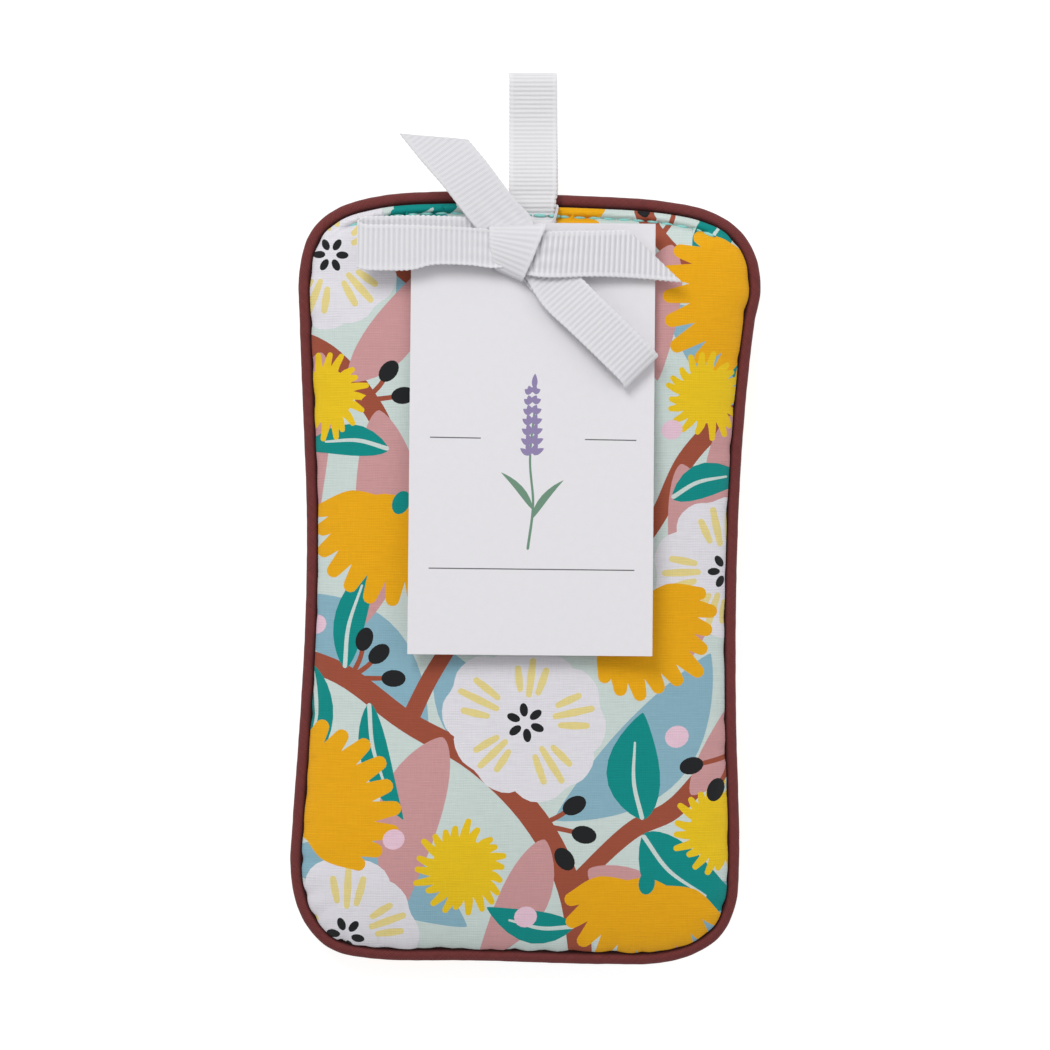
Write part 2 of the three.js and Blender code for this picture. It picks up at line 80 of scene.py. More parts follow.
def joint_place(name):
    """Where a joint of the frame turns."""
    return Vector(next(joint["pos_m"] for joint in frame["joints"] if joint["name"] == name))


HOLE = joint_place("tag_swing")


def srgb(red, green, blue):
    """A colour given in the 0 to 255 of a picture, as the 0 to 1 that materials take."""
    shares = [value / 255 for value in (red, green, blue)]
    return tuple(s / 12.92 if s <= 0.04045 else ((s + 0.055) / 1.055) ** 2.4 for s in shares)


def position(name, description, default, **limits):
    """A position along an axis, which shows in the user's own unit."""
    return FloatProperty(
        name=name, description=description, default=default, precision=5, subtype="DISTANCE", unit="LENGTH",
        **limits,
    )


def length(name, description, default):
    """A length, which is never below zero."""
    return position(name, description, default, min=0.0)


def angle(name, description, degrees):
    """An angle, whose default is given in degrees."""
    return FloatProperty(
        name=name, description=description, default=math.radians(degrees), subtype="ANGLE", unit="ROTATION",
    )


def dye(name, description, *rgb):
    """A colour, given in the 0 to 255 of a picture."""
    return FloatVectorProperty(
        name=name, description=description, default=srgb(*rgb), size=3, min=0.0, max=1.0,
        subtype="COLOR",
    )


class PillowSettings(bpy.types.PropertyGroup):
    """Sizes of the pillow, its piping and its stitches."""

    seam_width: length("Seam Width", "Widest distance across the middle of the piping", 94 * MM)
    seam_length: length("Seam Length", "Longest distance along the middle of the piping", 156.4 * MM)
    seam_middle: position("Seam Middle", "Where the middle of the seam lies along the sachet", -12.45 * MM)
    seam_height: length("Seam Height", "Height of the seam above the floor", 7.5 * MM)
    crown: length("Crown", "Height of the filled pillow", CROWN)
    cloth: length("Cloth Thickness", "Thickness of the printed cotton", 0.5 * MM)
    fold_inset: length("Fold Inset", "From the middle of the piping to the fold of a panel", 0.85 * MM)
    stitch_inset: length("Stitch Inset", "From the middle of the piping to the closing stitch", 3.05 * MM)
    allowance: length("Seam Allowance", "Cloth turned in behind the fold", 5 * MM)
    lip: length("Lip", "Flat cloth between the piping and the swell behind the closing stitch", 1.85 * MM)
    pucker: length("Pucker", "Depth of the small gathers along the seam", 0.7 * MM)
    piping_radius: length("Piping Radius", "Outer radius of the piping", 1.55 * MM)
    piping_wall: length("Piping Wall", "Thickness of the bias strip", 0.35 * MM)
    cord_radius: length("Cord Radius", "Radius of the filler cord in the piping", 0.88 * MM)
    stitch_pitch: length("Stitch Pitch", "From one stitch to the next", 3 * MM)
    thread_radius: length("Thread Radius", "Radius of the sewing thread", 0.36 * MM)


class RibbonSettings(bpy.types.PropertyGroup):
    """Sizes of the ribbons."""

    width: length("Ribbon Width", "Width of both grosgrain ribbons", 10 * MM)
    thickness: length("Ribbon Thickness", "Thickness of a ribbon over its ribs", 0.45 * MM)
    loop_rib: length("Loop Rib Pitch", "From rib to rib on the hanging loop", 0.91 * MM)
    bow_rib: length("Bow Rib Pitch", "From rib to rib on the bow", 1.07 * MM)
    rib_depth: length("Rib Depth", "Depth of the grooves between ribs", 0.16 * MM)
    selvage: length("Selvage", "Plain band along each edge of a ribbon", 0.95 * MM)
    hang_offset: length("Loop Offset", "How far the loop stands to the side of the middle", 1.6 * MM)
    strand_radius: length("Strand Radius", "Radius of the gathered ribbon through the card", 0.28 * MM)


class CardSettings(bpy.types.PropertyGroup):
    """Sizes of the card."""

    width: length("Card Width", "Width of the card", 50 * MM)
    height: length("Card Length", "Length of the card", 88.6 * MM)
    thickness: length("Card Thickness", "Thickness of the card", 0.5 * MM)
    hole_inset: length("Hole Inset", "From the top edge to the middle of the hole", 5.8 * MM)
    hole_radius: length("Hole Radius", "Radius of the punched hole", 2.2 * MM)
    tilt: angle("Tilt", "How far the card leans down to where it is tied", 3)
    turn: angle("Turn", "How far the card is turned on the pillow", -0.5)


class ColourSettings(bpy.types.PropertyGroup):
    """Colours of the cloth, the print, the ribbons and the card."""

    ground: dye("Ground", "Ground colour of the print", 199, 212, 208)
    pink: dye("Pink", "Dusty pink of the long leaves", 199, 148, 149)
    teal: dye("Teal", "Teal of the broad leaves", 0, 136, 131)
    mustard: dye("Mustard", "Mustard of the blossoms seen from the side", 230, 166, 12)
    yellow: dye("Yellow", "Yellow of the round blossoms", 229, 191, 26)
    rust: dye("Rust", "Rust brown of the branches", 154, 77, 56)
    blue: dye("Blue", "Grey blue of the large leaves", 134, 174, 190)
    white: dye("White", "White of the large blossoms", 221, 219, 225)
    cream: dye("Cream", "Soft yellow strokes on the white blossoms", 224, 207, 138)
    ink: dye("Ink", "Near black of the berries", 28, 29, 31)
    blush: dye("Blush", "Light pink dots", 226, 192, 208)
    piping: dye("Piping", "Burgundy of the bias strip", 108, 50, 49)
    cord: dye("Filler Cord", "Natural cotton cord in the piping", 226, 219, 202)
    lavender: dye("Lavender", "Dried lavender buds", 118, 108, 140)
    thread: dye("Thread", "Aqua sewing thread", 142, 214, 208)
    loop_ribbon: dye("Loop Ribbon", "White of the hanging loop", 225, 224, 227)
    bow_ribbon: dye("Bow Ribbon", "White of the bow", 222, 221, 225)
    card: dye("Card", "White of the card", 225, 223, 227)
    rule: dye("Rules", "Grey of the thin rules on the card", 96, 95, 98)
    sprig: dye("Sprig", "Violet of the printed sprig", 140, 126, 168)
    stalk: dye("Stalk", "Green of the printed sprig", 104, 140, 118)
    floor: dye("Floor", "Pale floor under the sachet", 148, 148, 148)


# The middle of the piping, anticlockwise from the top, in shares of the seam's half width and length
SEAM_SHARES = [
    (0.15, 0.991), (-0.375, 1), (-0.64, 0.988), (-0.813, 0.957), (-0.914, 0.904), (-0.96, 0.81),
    (-0.958, 0.66), (-0.945, 0.45), (-0.928, 0.16), (-0.935, -0.12), (-0.96, -0.39), (-0.99, -0.64),
    (-1, -0.76), (-0.982, -0.84), (-0.936, -0.905), (-0.844, -0.961), (-0.68, -0.985), (-0.2, -0.991),
    (0.33, -1), (0.59, -0.997), (0.73, -0.974), (0.835, -0.93), (0.89, -0.86), (0.906, -0.74),
    (0.892, -0.35), (0.893, -0.04), (0.91, 0.26), (0.94, 0.5), (0.975, 0.68), (1, 0.76),
    (0.984, 0.835), (0.923, 0.9), (0.81, 0.946), (0.61, 0.974),
]

# Ribbon pieces of the bow as pairs of edge points, in ribbon widths from the hole of the card
LEFT_LOOP = [
    [(-0.3, 0.2, 0.12), (-0.3, -0.2, 0.12)],
    [(-0.62, 0.42, 0.11), (-0.62, -0.26, 0.1)],
    [(-1, 0.62, 0.09), (-1, -0.33, 0.08)],
    [(-2.1, 0.71, 0.08), (-2.1, -0.26, 0.07)],
    [(-3.1, 0.69, 0.08), (-3.1, -0.28, 0.07)],
    [(-3.5, 0.66, 0.12), (-3.5, -0.36, 0.11)],
    [(-3.58, 0.58, 0.21), (-3.59, -0.4, 0.21)],
    [(-3.47, 0.51, 0.3), (-3.48, -0.45, 0.3)],
    [(-2.85, 0.49, 0.36), (-2.85, -0.47, 0.35)],
    [(-2.45, 0.485, 0.37), (-2.45, -0.45, 0.36)],
    [(-2.05, 0.47, 0.37), (-2.05, -0.35, 0.36)],
    [(-1.3, 0.44, 0.35), (-1.3, -0.35, 0.34)],
    [(-0.75, 0.38, 0.335), (-0.75, -0.4, 0.325)],
    [(-0.3, 0.24, 0.29), (-0.3, -0.3, 0.29)],
]
LOWER_LOOP = [
    [(0.02, 0.05, 0.1), (-0.45, -0.12, 0.1)],
    [(0.54, -0.16, 0.09), (-0.13, -0.71, 0.09)],
    [(1.51, -1.11, 0.07), (0.86, -1.69, 0.07)],
    [(2.23, -1.79, 0.07), (1.56, -2.45, 0.07)],
    [(2.5, -2.1, 0.13), (1.84, -2.78, 0.13)],
    [(2.57, -2.14, 0.23), (1.88, -2.83, 0.23)],
    [(2.5, -2.05, 0.32), (1.82, -2.72, 0.32)],
    [(2.05, -1.6, 0.36), (1.36, -2.26, 0.36)],
    [(1.45, -1.02, 0.33), (0.75, -1.68, 0.33)],
    [(0.95, -0.52, 0.24), (0.22, -1.17, 0.26)],
    [(0.5, -0.12, 0.18), (-0.1, -0.68, 0.18)],
    [(0.02, 0.1, 0.17), (-0.45, -0.08, 0.17)],
]
RIGHT_TAIL = [
    [(-0.12, 0.3, 0.3), (-0.2, -0.5, 0.27)],
    [(0.2, 0.35, 0.33), (0.12, -0.56, 0.32)],
    [(0.58, 0.37, 0.34), (0.5, -0.57, 0.33)],
    [(1.2, 0.39, 0.3), (1.16, -0.54, 0.29)],
    [(2, 0.42, 0.2), (1.97, -0.55, 0.21)],
    [(3.05, 0.37, 0.15), (3.05, -0.63, 0.16)],
]
LEFT_TAIL = [
    [(-0.62, -0.05, 0.2), (0.02, 0.3, 0.2)],
    [(-0.85, 0.14, 0.215), (-0.02, 0.62, 0.23)],
    [(-1.16, 0.42, 0.24), (-0.37, 1.01, 0.26)],
    [(-1.85, 1.28, 0.29), (-1, 1.83, 0.27)],
    [(-2.32, 1.82, 0.25), (-1.52, 2.44, 0.22)],
    [(-2.76, 2.37, 0.18), (-2.02, 2.98, 0.16)],
]
KNOT_BAND = [
    [(-0.55, -0.26, 0.05), (-0.2, -0.42, 0.06)],
    [(-0.66, -0.4, 0.11), (-0.2, -0.58, 0.12)],
    [(-0.76, -0.4, 0.2), (-0.21, -0.64, 0.22)],
    [(-0.83, -0.28, 0.3), (-0.18, -0.6, 0.34)],
    [(-0.87, -0.1, 0.35), (-0.1, -0.42, 0.42)],
    [(-0.9, 0.08, 0.365), (0, -0.2, 0.47)],
    [(-0.91, 0.22, 0.362), (0.09, 0.03, 0.485)],
    [(-0.91, 0.33, 0.345), (0.18, 0.26, 0.485)],
    [(-0.91, 0.43, 0.31), (0.24, 0.42, 0.45)],
    [(-0.89, 0.47, 0.22), (0.265, 0.5, 0.33)],
    [(-0.82, 0.43, 0.12), (0.25, 0.5, 0.17)],
    [(-0.6, 0.25, 0.07), (0.1, 0.34, 0.07)],
]
STRAND_DOWN = [(-0.1, -0.06, 0.2), (0, 0, 0.07), (0, 0, -0.04), (0.05, 0.05, -0.14), (0.3, 0.36, -0.34)]
STRAND_UP = [
    (-0.66, 0.84, -0.32), (-0.63, 0.83, -0.08), (-0.59, 0.74, 0.09), (-0.47, 0.4, 0.15), (-0.4, 0.2, 0.2),
]
# The strand ties the loop's foot this far above its sewn end, and pulls its edges in by this much
TIED_AT, PULLED_IN = 3.17 * MM, 0.45 * MM


def settings():
    """The four groups of settings: pillow, ribbon, card and colours."""
    scene = bpy.context.scene
    return scene.sachet_pillow, scene.sachet_ribbon, scene.sachet_card, scene.sachet_colours


# ---- Curves and meshes


def spline(points, closed, count):
    """Evenly counted points along a centripetal spline through the given ones."""
    points = np.asarray(points, float)
    size = len(points)
    spans = size if closed else size - 1
    if closed:
        ringed = points[np.r_[size - 1, 0:size, 0, 1]]
    else:
        ringed = np.vstack([2 * points[:1] - points[1:2], points, 2 * points[-1:] - points[-2:-1]])
    place = np.arange(count + (not closed)) * spans / count
    span = np.minimum(place.astype(int), spans - 1)
    share = (place - span)[:, None]
    p0, p1, p2, p3 = (ringed[span + i] for i in range(4))
    d0, d1, d2 = (
        np.maximum(np.linalg.norm(b - a, axis=1, keepdims=True), 1e-9) ** 0.5
        for a, b in ((p0, p1), (p1, p2), (p2, p3))
    )
    m1 = d1 * ((p1 - p0) / d0 - (p2 - p0) / (d0 + d1) + (p2 - p1) / d1)
    m2 = d1 * ((p2 - p1) / d1 - (p3 - p1) / (d1 + d2) + (p3 - p2) / d2)
    square, cube = share**2, share**3
    return (
        (2 * cube - 3 * square + 1) * p1
        + (cube - 2 * square + share) * m1
        + (3 * square - 2 * cube) * p2
        + (cube - square) * m2
    )


def unit(vectors):
    """The same directions with a length of one."""
    return vectors / np.linalg.norm(vectors, axis=-1, keepdims=True)


def distances(points):
    """How far along a line of points each one lies."""
    steps = np.linalg.norm(np.diff(points, axis=0), axis=1)
    return np.concatenate([[0], np.cumsum(steps)])


def smoothstep(value, low, high):
    """Rises smoothly from 0 at the low value to 1 at the high one."""
    share = np.clip((value - low) / (high - low), 0, 1)
    return share * share * (3 - 2 * share)


def grid_faces(rows, columns, close_rows=False, close_columns=False):
    """Quads between rows of points."""
    faces = []
    for i in range(rows if close_rows else rows - 1):
        for j in range(columns if close_columns else columns - 1):
            here, over = i * columns, ((i + 1) % rows) * columns
            k = (j + 1) % columns
            faces.append((here + j, here + k, over + k, over + j))
    return faces


def new_object(name, points, faces=(), edges=()):
    """A smooth mesh object."""
    mesh = bpy.data.meshes.new(name)
    mesh.from_pydata([tuple(p) for p in points], edges, [tuple(f) for f in faces])
    mesh.shade_smooth()
    piece = bpy.data.objects.new(name, mesh)
    bpy.context.scene.collection.objects.link(piece)
    return piece


def path_object(name, points, closed=False):
    """A line of points that a tree can run along."""
    count = len(points)
    spans = count if closed else count - 1
    return new_object(name, points, edges=[(i, (i + 1) % count) for i in range(spans)])


def plan_tree(points):
    """A tree that finds the nearest of some points in the plan."""
    tree = KDTree(len(points))
    for i, (x, y) in enumerate(points):
        tree.insert((x, y, 0), i)
    tree.balance()
    return tree


def height_on(surface, x, y, side=1):
    """How high a surface is where a ray meets it from above, or from below for a side of -1."""
    hit = surface.ray_cast(Vector((x, y, side)), Vector((0, 0, -side)))[0]
    return None if hit is None else hit.z


def outward(points, faces):
    """The faces of a closed body, turned so that they point out of it."""
    points = np.asarray(points, float)
    volume = sum(
        points[f[0]] @ np.cross(points[f[i]], points[f[i + 1]]) for f in faces for i in range(1, len(f) - 1)
    )
    return faces if volume > 0 else [tuple(reversed(f)) for f in faces]


def lay_uv(piece, name, places):
    """Gives each point of a piece its own place on the cloth, in metres."""
    mesh = piece.data
    layer = mesh.uv_layers.new(name=name)
    corner = np.zeros(len(mesh.loops), int)
    mesh.loops.foreach_get("vertex_index", corner)
    layer.data.foreach_set("uv", np.asarray(places, np.float32)[corner].ravel())


def lay_values(piece, name, values):
    """Keeps a number on each point of a piece."""
    attribute = piece.data.attributes.new(name, "FLOAT", "POINT")
    attribute.data.foreach_set("value", np.asarray(values, np.float32))


def settle(piece):
    """Turns a piece and its modifiers into a plain mesh."""
    graph = bpy.context.evaluated_depsgraph_get()
    mesh = bpy.data.meshes.new_from_object(piece.evaluated_get(graph), depsgraph=graph)
    piece.modifiers.clear()
    piece.data = mesh
    mesh.name = piece.name
    return piece


def dress(piece, slot, *nodes, body=None):
    """Hides the solids a piece stands for and hangs it on the body it rides on; the slot, the finish it
    takes, is not used.
    """
    if body:
        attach(piece, body)
    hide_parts(*nodes)


# ---- Node trees


class Nodes:
    """Adds nodes to a tree, each with its inputs linked or set."""

    def __init__(self, tree):
        self.tree = tree

    def add(self, kind, inputs=None, **values):
        node = self.tree.nodes.new(kind)
        for name, value in values.items():
            setattr(node, name, value)
        for key, value in (inputs or {}).items():
            if isinstance(value, bpy.types.NodeSocket):
                self.tree.links.new(value, node.inputs[key])
            else:
                node.inputs[key].default_value = value
        return node

    def math(self, operation, *values):
        return self.add("ShaderNodeMath", dict(enumerate(values)), operation=operation).outputs[0]

    def scaled(self, vector, scale):
        return self.add("ShaderNodeVectorMath", {0: vector, "Scale": scale}, operation="SCALE").outputs[0]

    def upright(self, x, z):
        """A vector with no Y."""
        return self.add("ShaderNodeCombineXYZ", {"X": x, "Z": z}).outputs[0]

    def split(self, vector):
        """The X, Y and Z of a vector."""
        return self.add("ShaderNodeSeparateXYZ", {0: vector}).outputs

    def map_range(self, value, from_low, from_high, to_low, to_high, kind="SMOOTHSTEP"):
        return self.add("ShaderNodeMapRange", {
            "Value": value, "From Min": from_low, "From Max": from_high, "To Min": to_low, "To Max": to_high,
        }, interpolation_type=kind).outputs["Result"]

    def mix(self, share, first, second):
        """A number between two others."""
        return self.add("ShaderNodeMix", {0: share, 2: first, 3: second}).outputs[0]

    def tint(self, share, first, second, blend="MIX"):
        """A colour between two others."""
        return self.add(
            "ShaderNodeMix", {0: share, 6: first, 7: second}, data_type="RGBA", blend_type=blend,
        ).outputs[2]

    def noise(self, place, scale, detail, output=0):
        return self.add(
            "ShaderNodeTexNoise", {"Vector": place, "Scale": scale, "Detail": detail},
        ).outputs[output]

    def from_mesh(self, name):
        """A number kept on the mesh, for a material."""
        return self.add("ShaderNodeAttribute", attribute_name=name).outputs["Fac"]

    def from_points(self, name):
        """A number kept on the points, for a geometry tree."""
        return self.add("GeometryNodeInputNamedAttribute", {"Name": name}, data_type="FLOAT").outputs[0]


def geometry_tree(name, inputs):
    """A Geometry Nodes tree with the named inputs, and its start and end."""
    tree = bpy.data.node_groups.new(name, "GeometryNodeTree")
    tree.interface.new_socket("Geometry", in_out="INPUT", socket_type="NodeSocketGeometry")
    tree.interface.new_socket("Geometry", in_out="OUTPUT", socket_type="NodeSocketGeometry")
    for label, (kind, value) in inputs.items():
        socket = tree.interface.new_socket(label, in_out="INPUT", socket_type=f"NodeSocket{kind}")
        if value is not None:
            socket.default_value = value
    nodes = Nodes(tree)
    return nodes, nodes.add("NodeGroupInput").outputs, nodes.add("NodeGroupOutput")


def finish_tree(nodes, end, result, material):
    """Ends a tree in real geometry with its material set."""
    real = nodes.add("GeometryNodeRealizeInstances", {"Geometry": result}).outputs[0]
    dressed = nodes.add("GeometryNodeSetMaterial", {"Geometry": real, "Material": material}).outputs[0]
    nodes.tree.links.new(dressed, end.inputs[0])
    return nodes.tree


def run_tree(piece, tree, values):
    """Runs a tree on a piece with the given inputs, and keeps the result as a plain mesh."""
    modifier = piece.modifiers.new(tree.name, "NODES")
    modifier.node_group = tree
    for item in tree.interface.items_tree:
        if item.item_type == "SOCKET" and item.in_out == "INPUT" and item.name in values:
            modifier[item.identifier] = values[item.name]
    settle(piece)
    piece.data.shade_smooth()
    return piece


def ribs_tree():
    """Sinks the grooves between the ribs of a ribbon, and beads its edges."""
    nodes, start, end = geometry_tree("Grosgrain Ribs", {
        "Rib Pitch": ("Float", 1 * MM), "Rib Depth": ("Float", 0.14 * MM), "Half Width": ("Float", 5 * MM),
        "Selvage": ("Float", 1 * MM), "Material": ("Material", None),
    })
    ribs = nodes.math("DIVIDE", nodes.from_points("along"), start["Rib Pitch"])
    turn = nodes.math("MULTIPLY", ribs, math.pi)
    ridge = nodes.math("POWER", nodes.math("ABSOLUTE", nodes.math("SINE", turn)), 1.3)
    aside = nodes.math("ABSOLUTE", nodes.from_points("across"))
    band = nodes.math("SUBTRACT", start["Half Width"], start["Selvage"])
    edge = nodes.math("SUBTRACT", start["Half Width"], nodes.math("MULTIPLY", start["Selvage"], 0.3))
    inner = nodes.map_range(aside, nodes.math("MULTIPLY", band, 0.96), band, 1.0, 0.5)
    outer = nodes.map_range(aside, edge, start["Half Width"], 0.0, 0.35)
    mask = nodes.math("ADD", inner, outer)
    depth = nodes.math("MULTIPLY", nodes.math("SUBTRACT", ridge, 1.0), start["Rib Depth"])
    normal = nodes.add("GeometryNodeInputNormal").outputs[0]
    offset = nodes.scaled(normal, nodes.math("MULTIPLY", depth, mask))
    moved = nodes.add("GeometryNodeSetPosition", {"Geometry": start["Geometry"], "Offset": offset}).outputs[0]
    return finish_tree(nodes, end, moved, start["Material"])


def stitch_tree():
    """Lays short arched stitches along a path."""
    nodes, start, end = geometry_tree("Running Stitch", {
        "Pitch": ("Float", 3 * MM), "Stitch Length": ("Float", 2.8 * MM), "Sink": ("Float", 0.3 * MM),
        "Thread Radius": ("Float", 0.36 * MM), "Material": ("Material", None),
    })
    path = nodes.add("GeometryNodeMeshToCurve", {"Mesh": start["Geometry"]}).outputs[0]
    spaced = nodes.add("GeometryNodeResampleCurve", {"Curve": path, "Length": start["Pitch"]}, mode="LENGTH")
    half = nodes.math("MULTIPLY", start["Stitch Length"], 0.5)
    low = nodes.math("MULTIPLY", start["Sink"], -1.0)
    rise = nodes.math("MULTIPLY", half, 0.72)
    bezier = nodes.add("GeometryNodeCurvePrimitiveBezierSegment", {
        "Resolution": 10,
        "Start": nodes.upright(nodes.math("MULTIPLY", half, -1.0), low),
        "Start Handle": nodes.upright(nodes.math("MULTIPLY", rise, -1.0), start["Sink"]),
        "End Handle": nodes.upright(rise, start["Sink"]),
        "End": nodes.upright(half, low),
    }).outputs[0]
    arch = nodes.add("GeometryNodeResampleCurve", {"Curve": bezier, "Count": 11}, mode="COUNT").outputs[0]
    round_thread = nodes.add("GeometryNodeCurvePrimitiveCircle", {
        "Resolution": 8, "Radius": start["Thread Radius"],
    }).outputs[0]
    share = nodes.add("GeometryNodeSplineParameter").outputs["Factor"]
    plump = nodes.math("SINE", nodes.math("MULTIPLY", share, math.pi))
    # Painted shade: marks the stitch's ends, which the thread's material darkens where they dive into the
    # cloth
    dive = nodes.map_range(plump, 0.15, 0.6, 1.0, 0.0)
    marked = nodes.add("GeometryNodeStoreNamedAttribute", {
        "Geometry": arch, "Name": "dive", "Value": dive,
    }, data_type="FLOAT", domain="POINT").outputs[0]
    stitch = nodes.add("GeometryNodeCurveToMesh", {
        "Curve": marked, "Profile Curve": round_thread, "Fill Caps": True,
        "Scale": nodes.math("MULTIPLY_ADD", plump, 0.6, 0.4),
    }).outputs[0]
    tangent = nodes.add("GeometryNodeInputTangent").outputs[0]
    turn = nodes.add("FunctionNodeAlignRotationToVector", {"Vector": tangent}, axis="X").outputs[0]
    laid = nodes.add("GeometryNodeInstanceOnPoints", {
        "Points": spaced.outputs[0], "Instance": stitch, "Rotation": turn,
    }).outputs[0]
    return finish_tree(nodes, end, laid, start["Material"])


def twist_tree():
    """Sweeps a three-lobed section along a path and twists it, as three plies of a cord."""
    nodes, start, end = geometry_tree("Twisted Cord", {
        "Radius": ("Float", 0.9 * MM), "Lay Length": ("Float", 7 * MM), "Material": ("Material", None),
    })
    path = nodes.add("GeometryNodeMeshToCurve", {"Mesh": start["Geometry"]}).outputs[0]
    length_along = nodes.add("GeometryNodeSplineParameter").outputs["Length"]
    turns = nodes.math("MULTIPLY", nodes.math("DIVIDE", length_along, start["Lay Length"]), 2 * math.pi)
    tilted = nodes.add("GeometryNodeSetCurveTilt", {"Curve": path, "Tilt": turns}).outputs[0]
    ring = nodes.add("GeometryNodeCurvePrimitiveCircle", {
        "Resolution": 15, "Radius": start["Radius"],
    }).outputs[0]
    spot = nodes.add("GeometryNodeInputPosition").outputs[0]
    parts = nodes.split(spot)
    heading = nodes.math("ARCTAN2", parts[1], parts[0])
    lobes = nodes.math("ABSOLUTE", nodes.math("COSINE", nodes.math("MULTIPLY", heading, 1.5)))
    size = nodes.map_range(lobes, 0.0, 1.0, 0.72, 1.0, kind="LINEAR")
    section = nodes.add("GeometryNodeSetPosition", {
        "Geometry": ring, "Position": nodes.scaled(spot, size),
    }).outputs[0]
    cord = nodes.add("GeometryNodeCurveToMesh", {
        "Curve": tilted, "Profile Curve": section, "Fill Caps": True,
    }).outputs[0]
    return finish_tree(nodes, end, cord, start["Material"])


# ---- Materials

STRAW = (0.42, 0.34, 0.17, 1)


def new_material(name, colour, roughness, **surface):
    """A material with its plain numbers on the shader's own sockets."""
    made = bpy.data.materials.new(name)
    made.use_nodes = True
    nodes = Nodes(made.node_tree)
    shader = made.node_tree.nodes["Principled BSDF"]
    shader.inputs["Base Color"].default_value = (*colour, 1)
    shader.inputs["Roughness"].default_value = roughness
    for label, value in surface.items():
        shader.inputs[label.replace("_", " ")].default_value = value
    made.diffuse_color = (*colour, 1)
    return made, nodes, shader


def shade_by(nodes, shader, colour, factor, low, high):
    """Multiplies a colour by a grey that follows a factor from 0 to 1."""
    grey = nodes.map_range(factor, 0.0, 1.0, low, high, kind="LINEAR")
    tone = nodes.add("ShaderNodeCombineColor", {0: grey, 1: grey, 2: grey}).outputs[0]
    nodes.tree.links.new(nodes.tint(1.0, colour, tone, "MULTIPLY"), shader.inputs["Base Color"])


def raise_by(nodes, shader, height, distance):
    """Raises the surface in its shading by a height from 0 to 1 times a distance."""
    bump = nodes.add("ShaderNodeBump", {"Height": height, "Distance": distance, "Strength": 1.0})
    nodes.tree.links.new(bump.outputs[0], shader.inputs["Normal"])


def waves(nodes, place, pitch):
    """Threads across a coordinate: a wave from 0 to 1 with the given pitch."""
    wave = nodes.math("SINE", nodes.math("MULTIPLY", place, 2 * math.pi / pitch))
    return nodes.math("MULTIPLY_ADD", wave, 0.5, 0.5)


def plain_weave(nodes, weft, warp, turn):
    """Threads over and under each other in a cloth's own map, uneven as spun cotton is."""
    flat = nodes.add("ShaderNodeUVMap", uv_map="cloth").outputs[0]
    laid = nodes.add("ShaderNodeMapping", {"Vector": flat, "Rotation": (0, 0, turn)}).outputs[0]
    bent = nodes.add("ShaderNodeVectorMath", {
        0: nodes.noise(laid, 230.0, 1.0, "Color"), 1: (0.5 * MM, 0.4 * MM, 0), 2: laid,
    }, operation="MULTIPLY_ADD").outputs[0]
    parts = nodes.split(bent)
    threads = nodes.mix(0.3, waves(nodes, parts[1], weft), waves(nodes, parts[0], warp))
    slubs = []
    for stretch in ((240.0, 2300.0, 1.0), (2400.0, 330.0, 1.0)):
        stretched = nodes.add("ShaderNodeMapping", {"Vector": laid, "Scale": stretch}).outputs[0]
        slubs.append(nodes.noise(stretched, 1.0, 2.0))
    uneven = nodes.map_range(nodes.mix(0.4, *slubs), 0.3, 0.7, 0.0, 1.0, kind="LINEAR")
    patches = nodes.map_range(nodes.noise(laid, 300.0, 1.0), 0.4, 0.6, 0.2, 0.9)
    return nodes.mix(0.42, nodes.mix(patches, 0.5, threads), uneven)


def cotton_material(name, dye_colour=None, turn=0.0, weft=0.52 * MM, warp=0.4 * MM, low=0.86, high=1.11,
                    bump=0.05 * MM):
    """Woven cotton: printed as its mesh says, or dyed one colour with painted shade where its mesh is tucked
    in.
    """
    made, nodes, shader = new_material(name, dye_colour or (0.6, 0.6, 0.6), 0.88, Sheen_Weight=0.04,
                                       Sheen_Roughness=0.5, Specular_IOR_Level=0.25)
    if dye_colour:
        # Painted shade: the dye darkens to a quarter of itself where the mesh says the strip is tucked under
        # the fold
        deep = (*(0.25 * c for c in dye_colour), 1)
        colour = nodes.tint(nodes.from_mesh("tuck_shade"), (*dye_colour, 1), deep)
    else:
        colour = nodes.add("ShaderNodeVertexColor", layer_name="print").outputs[0]
    weave = plain_weave(nodes, weft, warp, turn)
    shade_by(nodes, shader, colour, weave, low, high)
    raise_by(nodes, shader, weave, bump)
    return made


def ribbon_material(name, colour, pitch, half_width):
    """Corded ribbon: fine warp threads along it and painted shade in each groove between ribs."""
    made, nodes, shader = new_material(name, colour, 0.62, Sheen_Weight=0.08, Specular_IOR_Level=0.35)
    flat = nodes.add("ShaderNodeUVMap", uv_map="cloth").outputs[0]
    parts = nodes.split(flat)
    ridge = nodes.math("SINE", nodes.math("MULTIPLY", parts[0], math.pi / pitch))
    hollow = nodes.math("SUBTRACT", 1.0, nodes.math("MULTIPLY", ridge, ridge))
    inside = nodes.map_range(nodes.math("ABSOLUTE", parts[1]), half_width * 0.8, half_width * 0.84, 1.0, 0.45)
    # Painted shade: darker in each groove, less so on the selvage, as much as each piece's relief says
    groove = nodes.math("SUBTRACT", nodes.math("MULTIPLY", hollow, inside), 0.5)
    groove = nodes.math("MULTIPLY", groove, nodes.from_mesh("rib_relief_and_shade"))
    fine = nodes.mix(0.5, waves(nodes, parts[1], 0.26 * MM), nodes.noise(flat, 900.0, 2.0))
    tone = nodes.math("SUBTRACT", 0.58, nodes.math("MULTIPLY", groove, 0.4))
    level = nodes.math("SUBTRACT", tone, nodes.math("MULTIPLY", fine, 0.04))
    shade_by(nodes, shader, (*colour, 1), level, 0.76, 1.08)
    raise_by(nodes, shader, fine, 0.03 * MM)
    return made


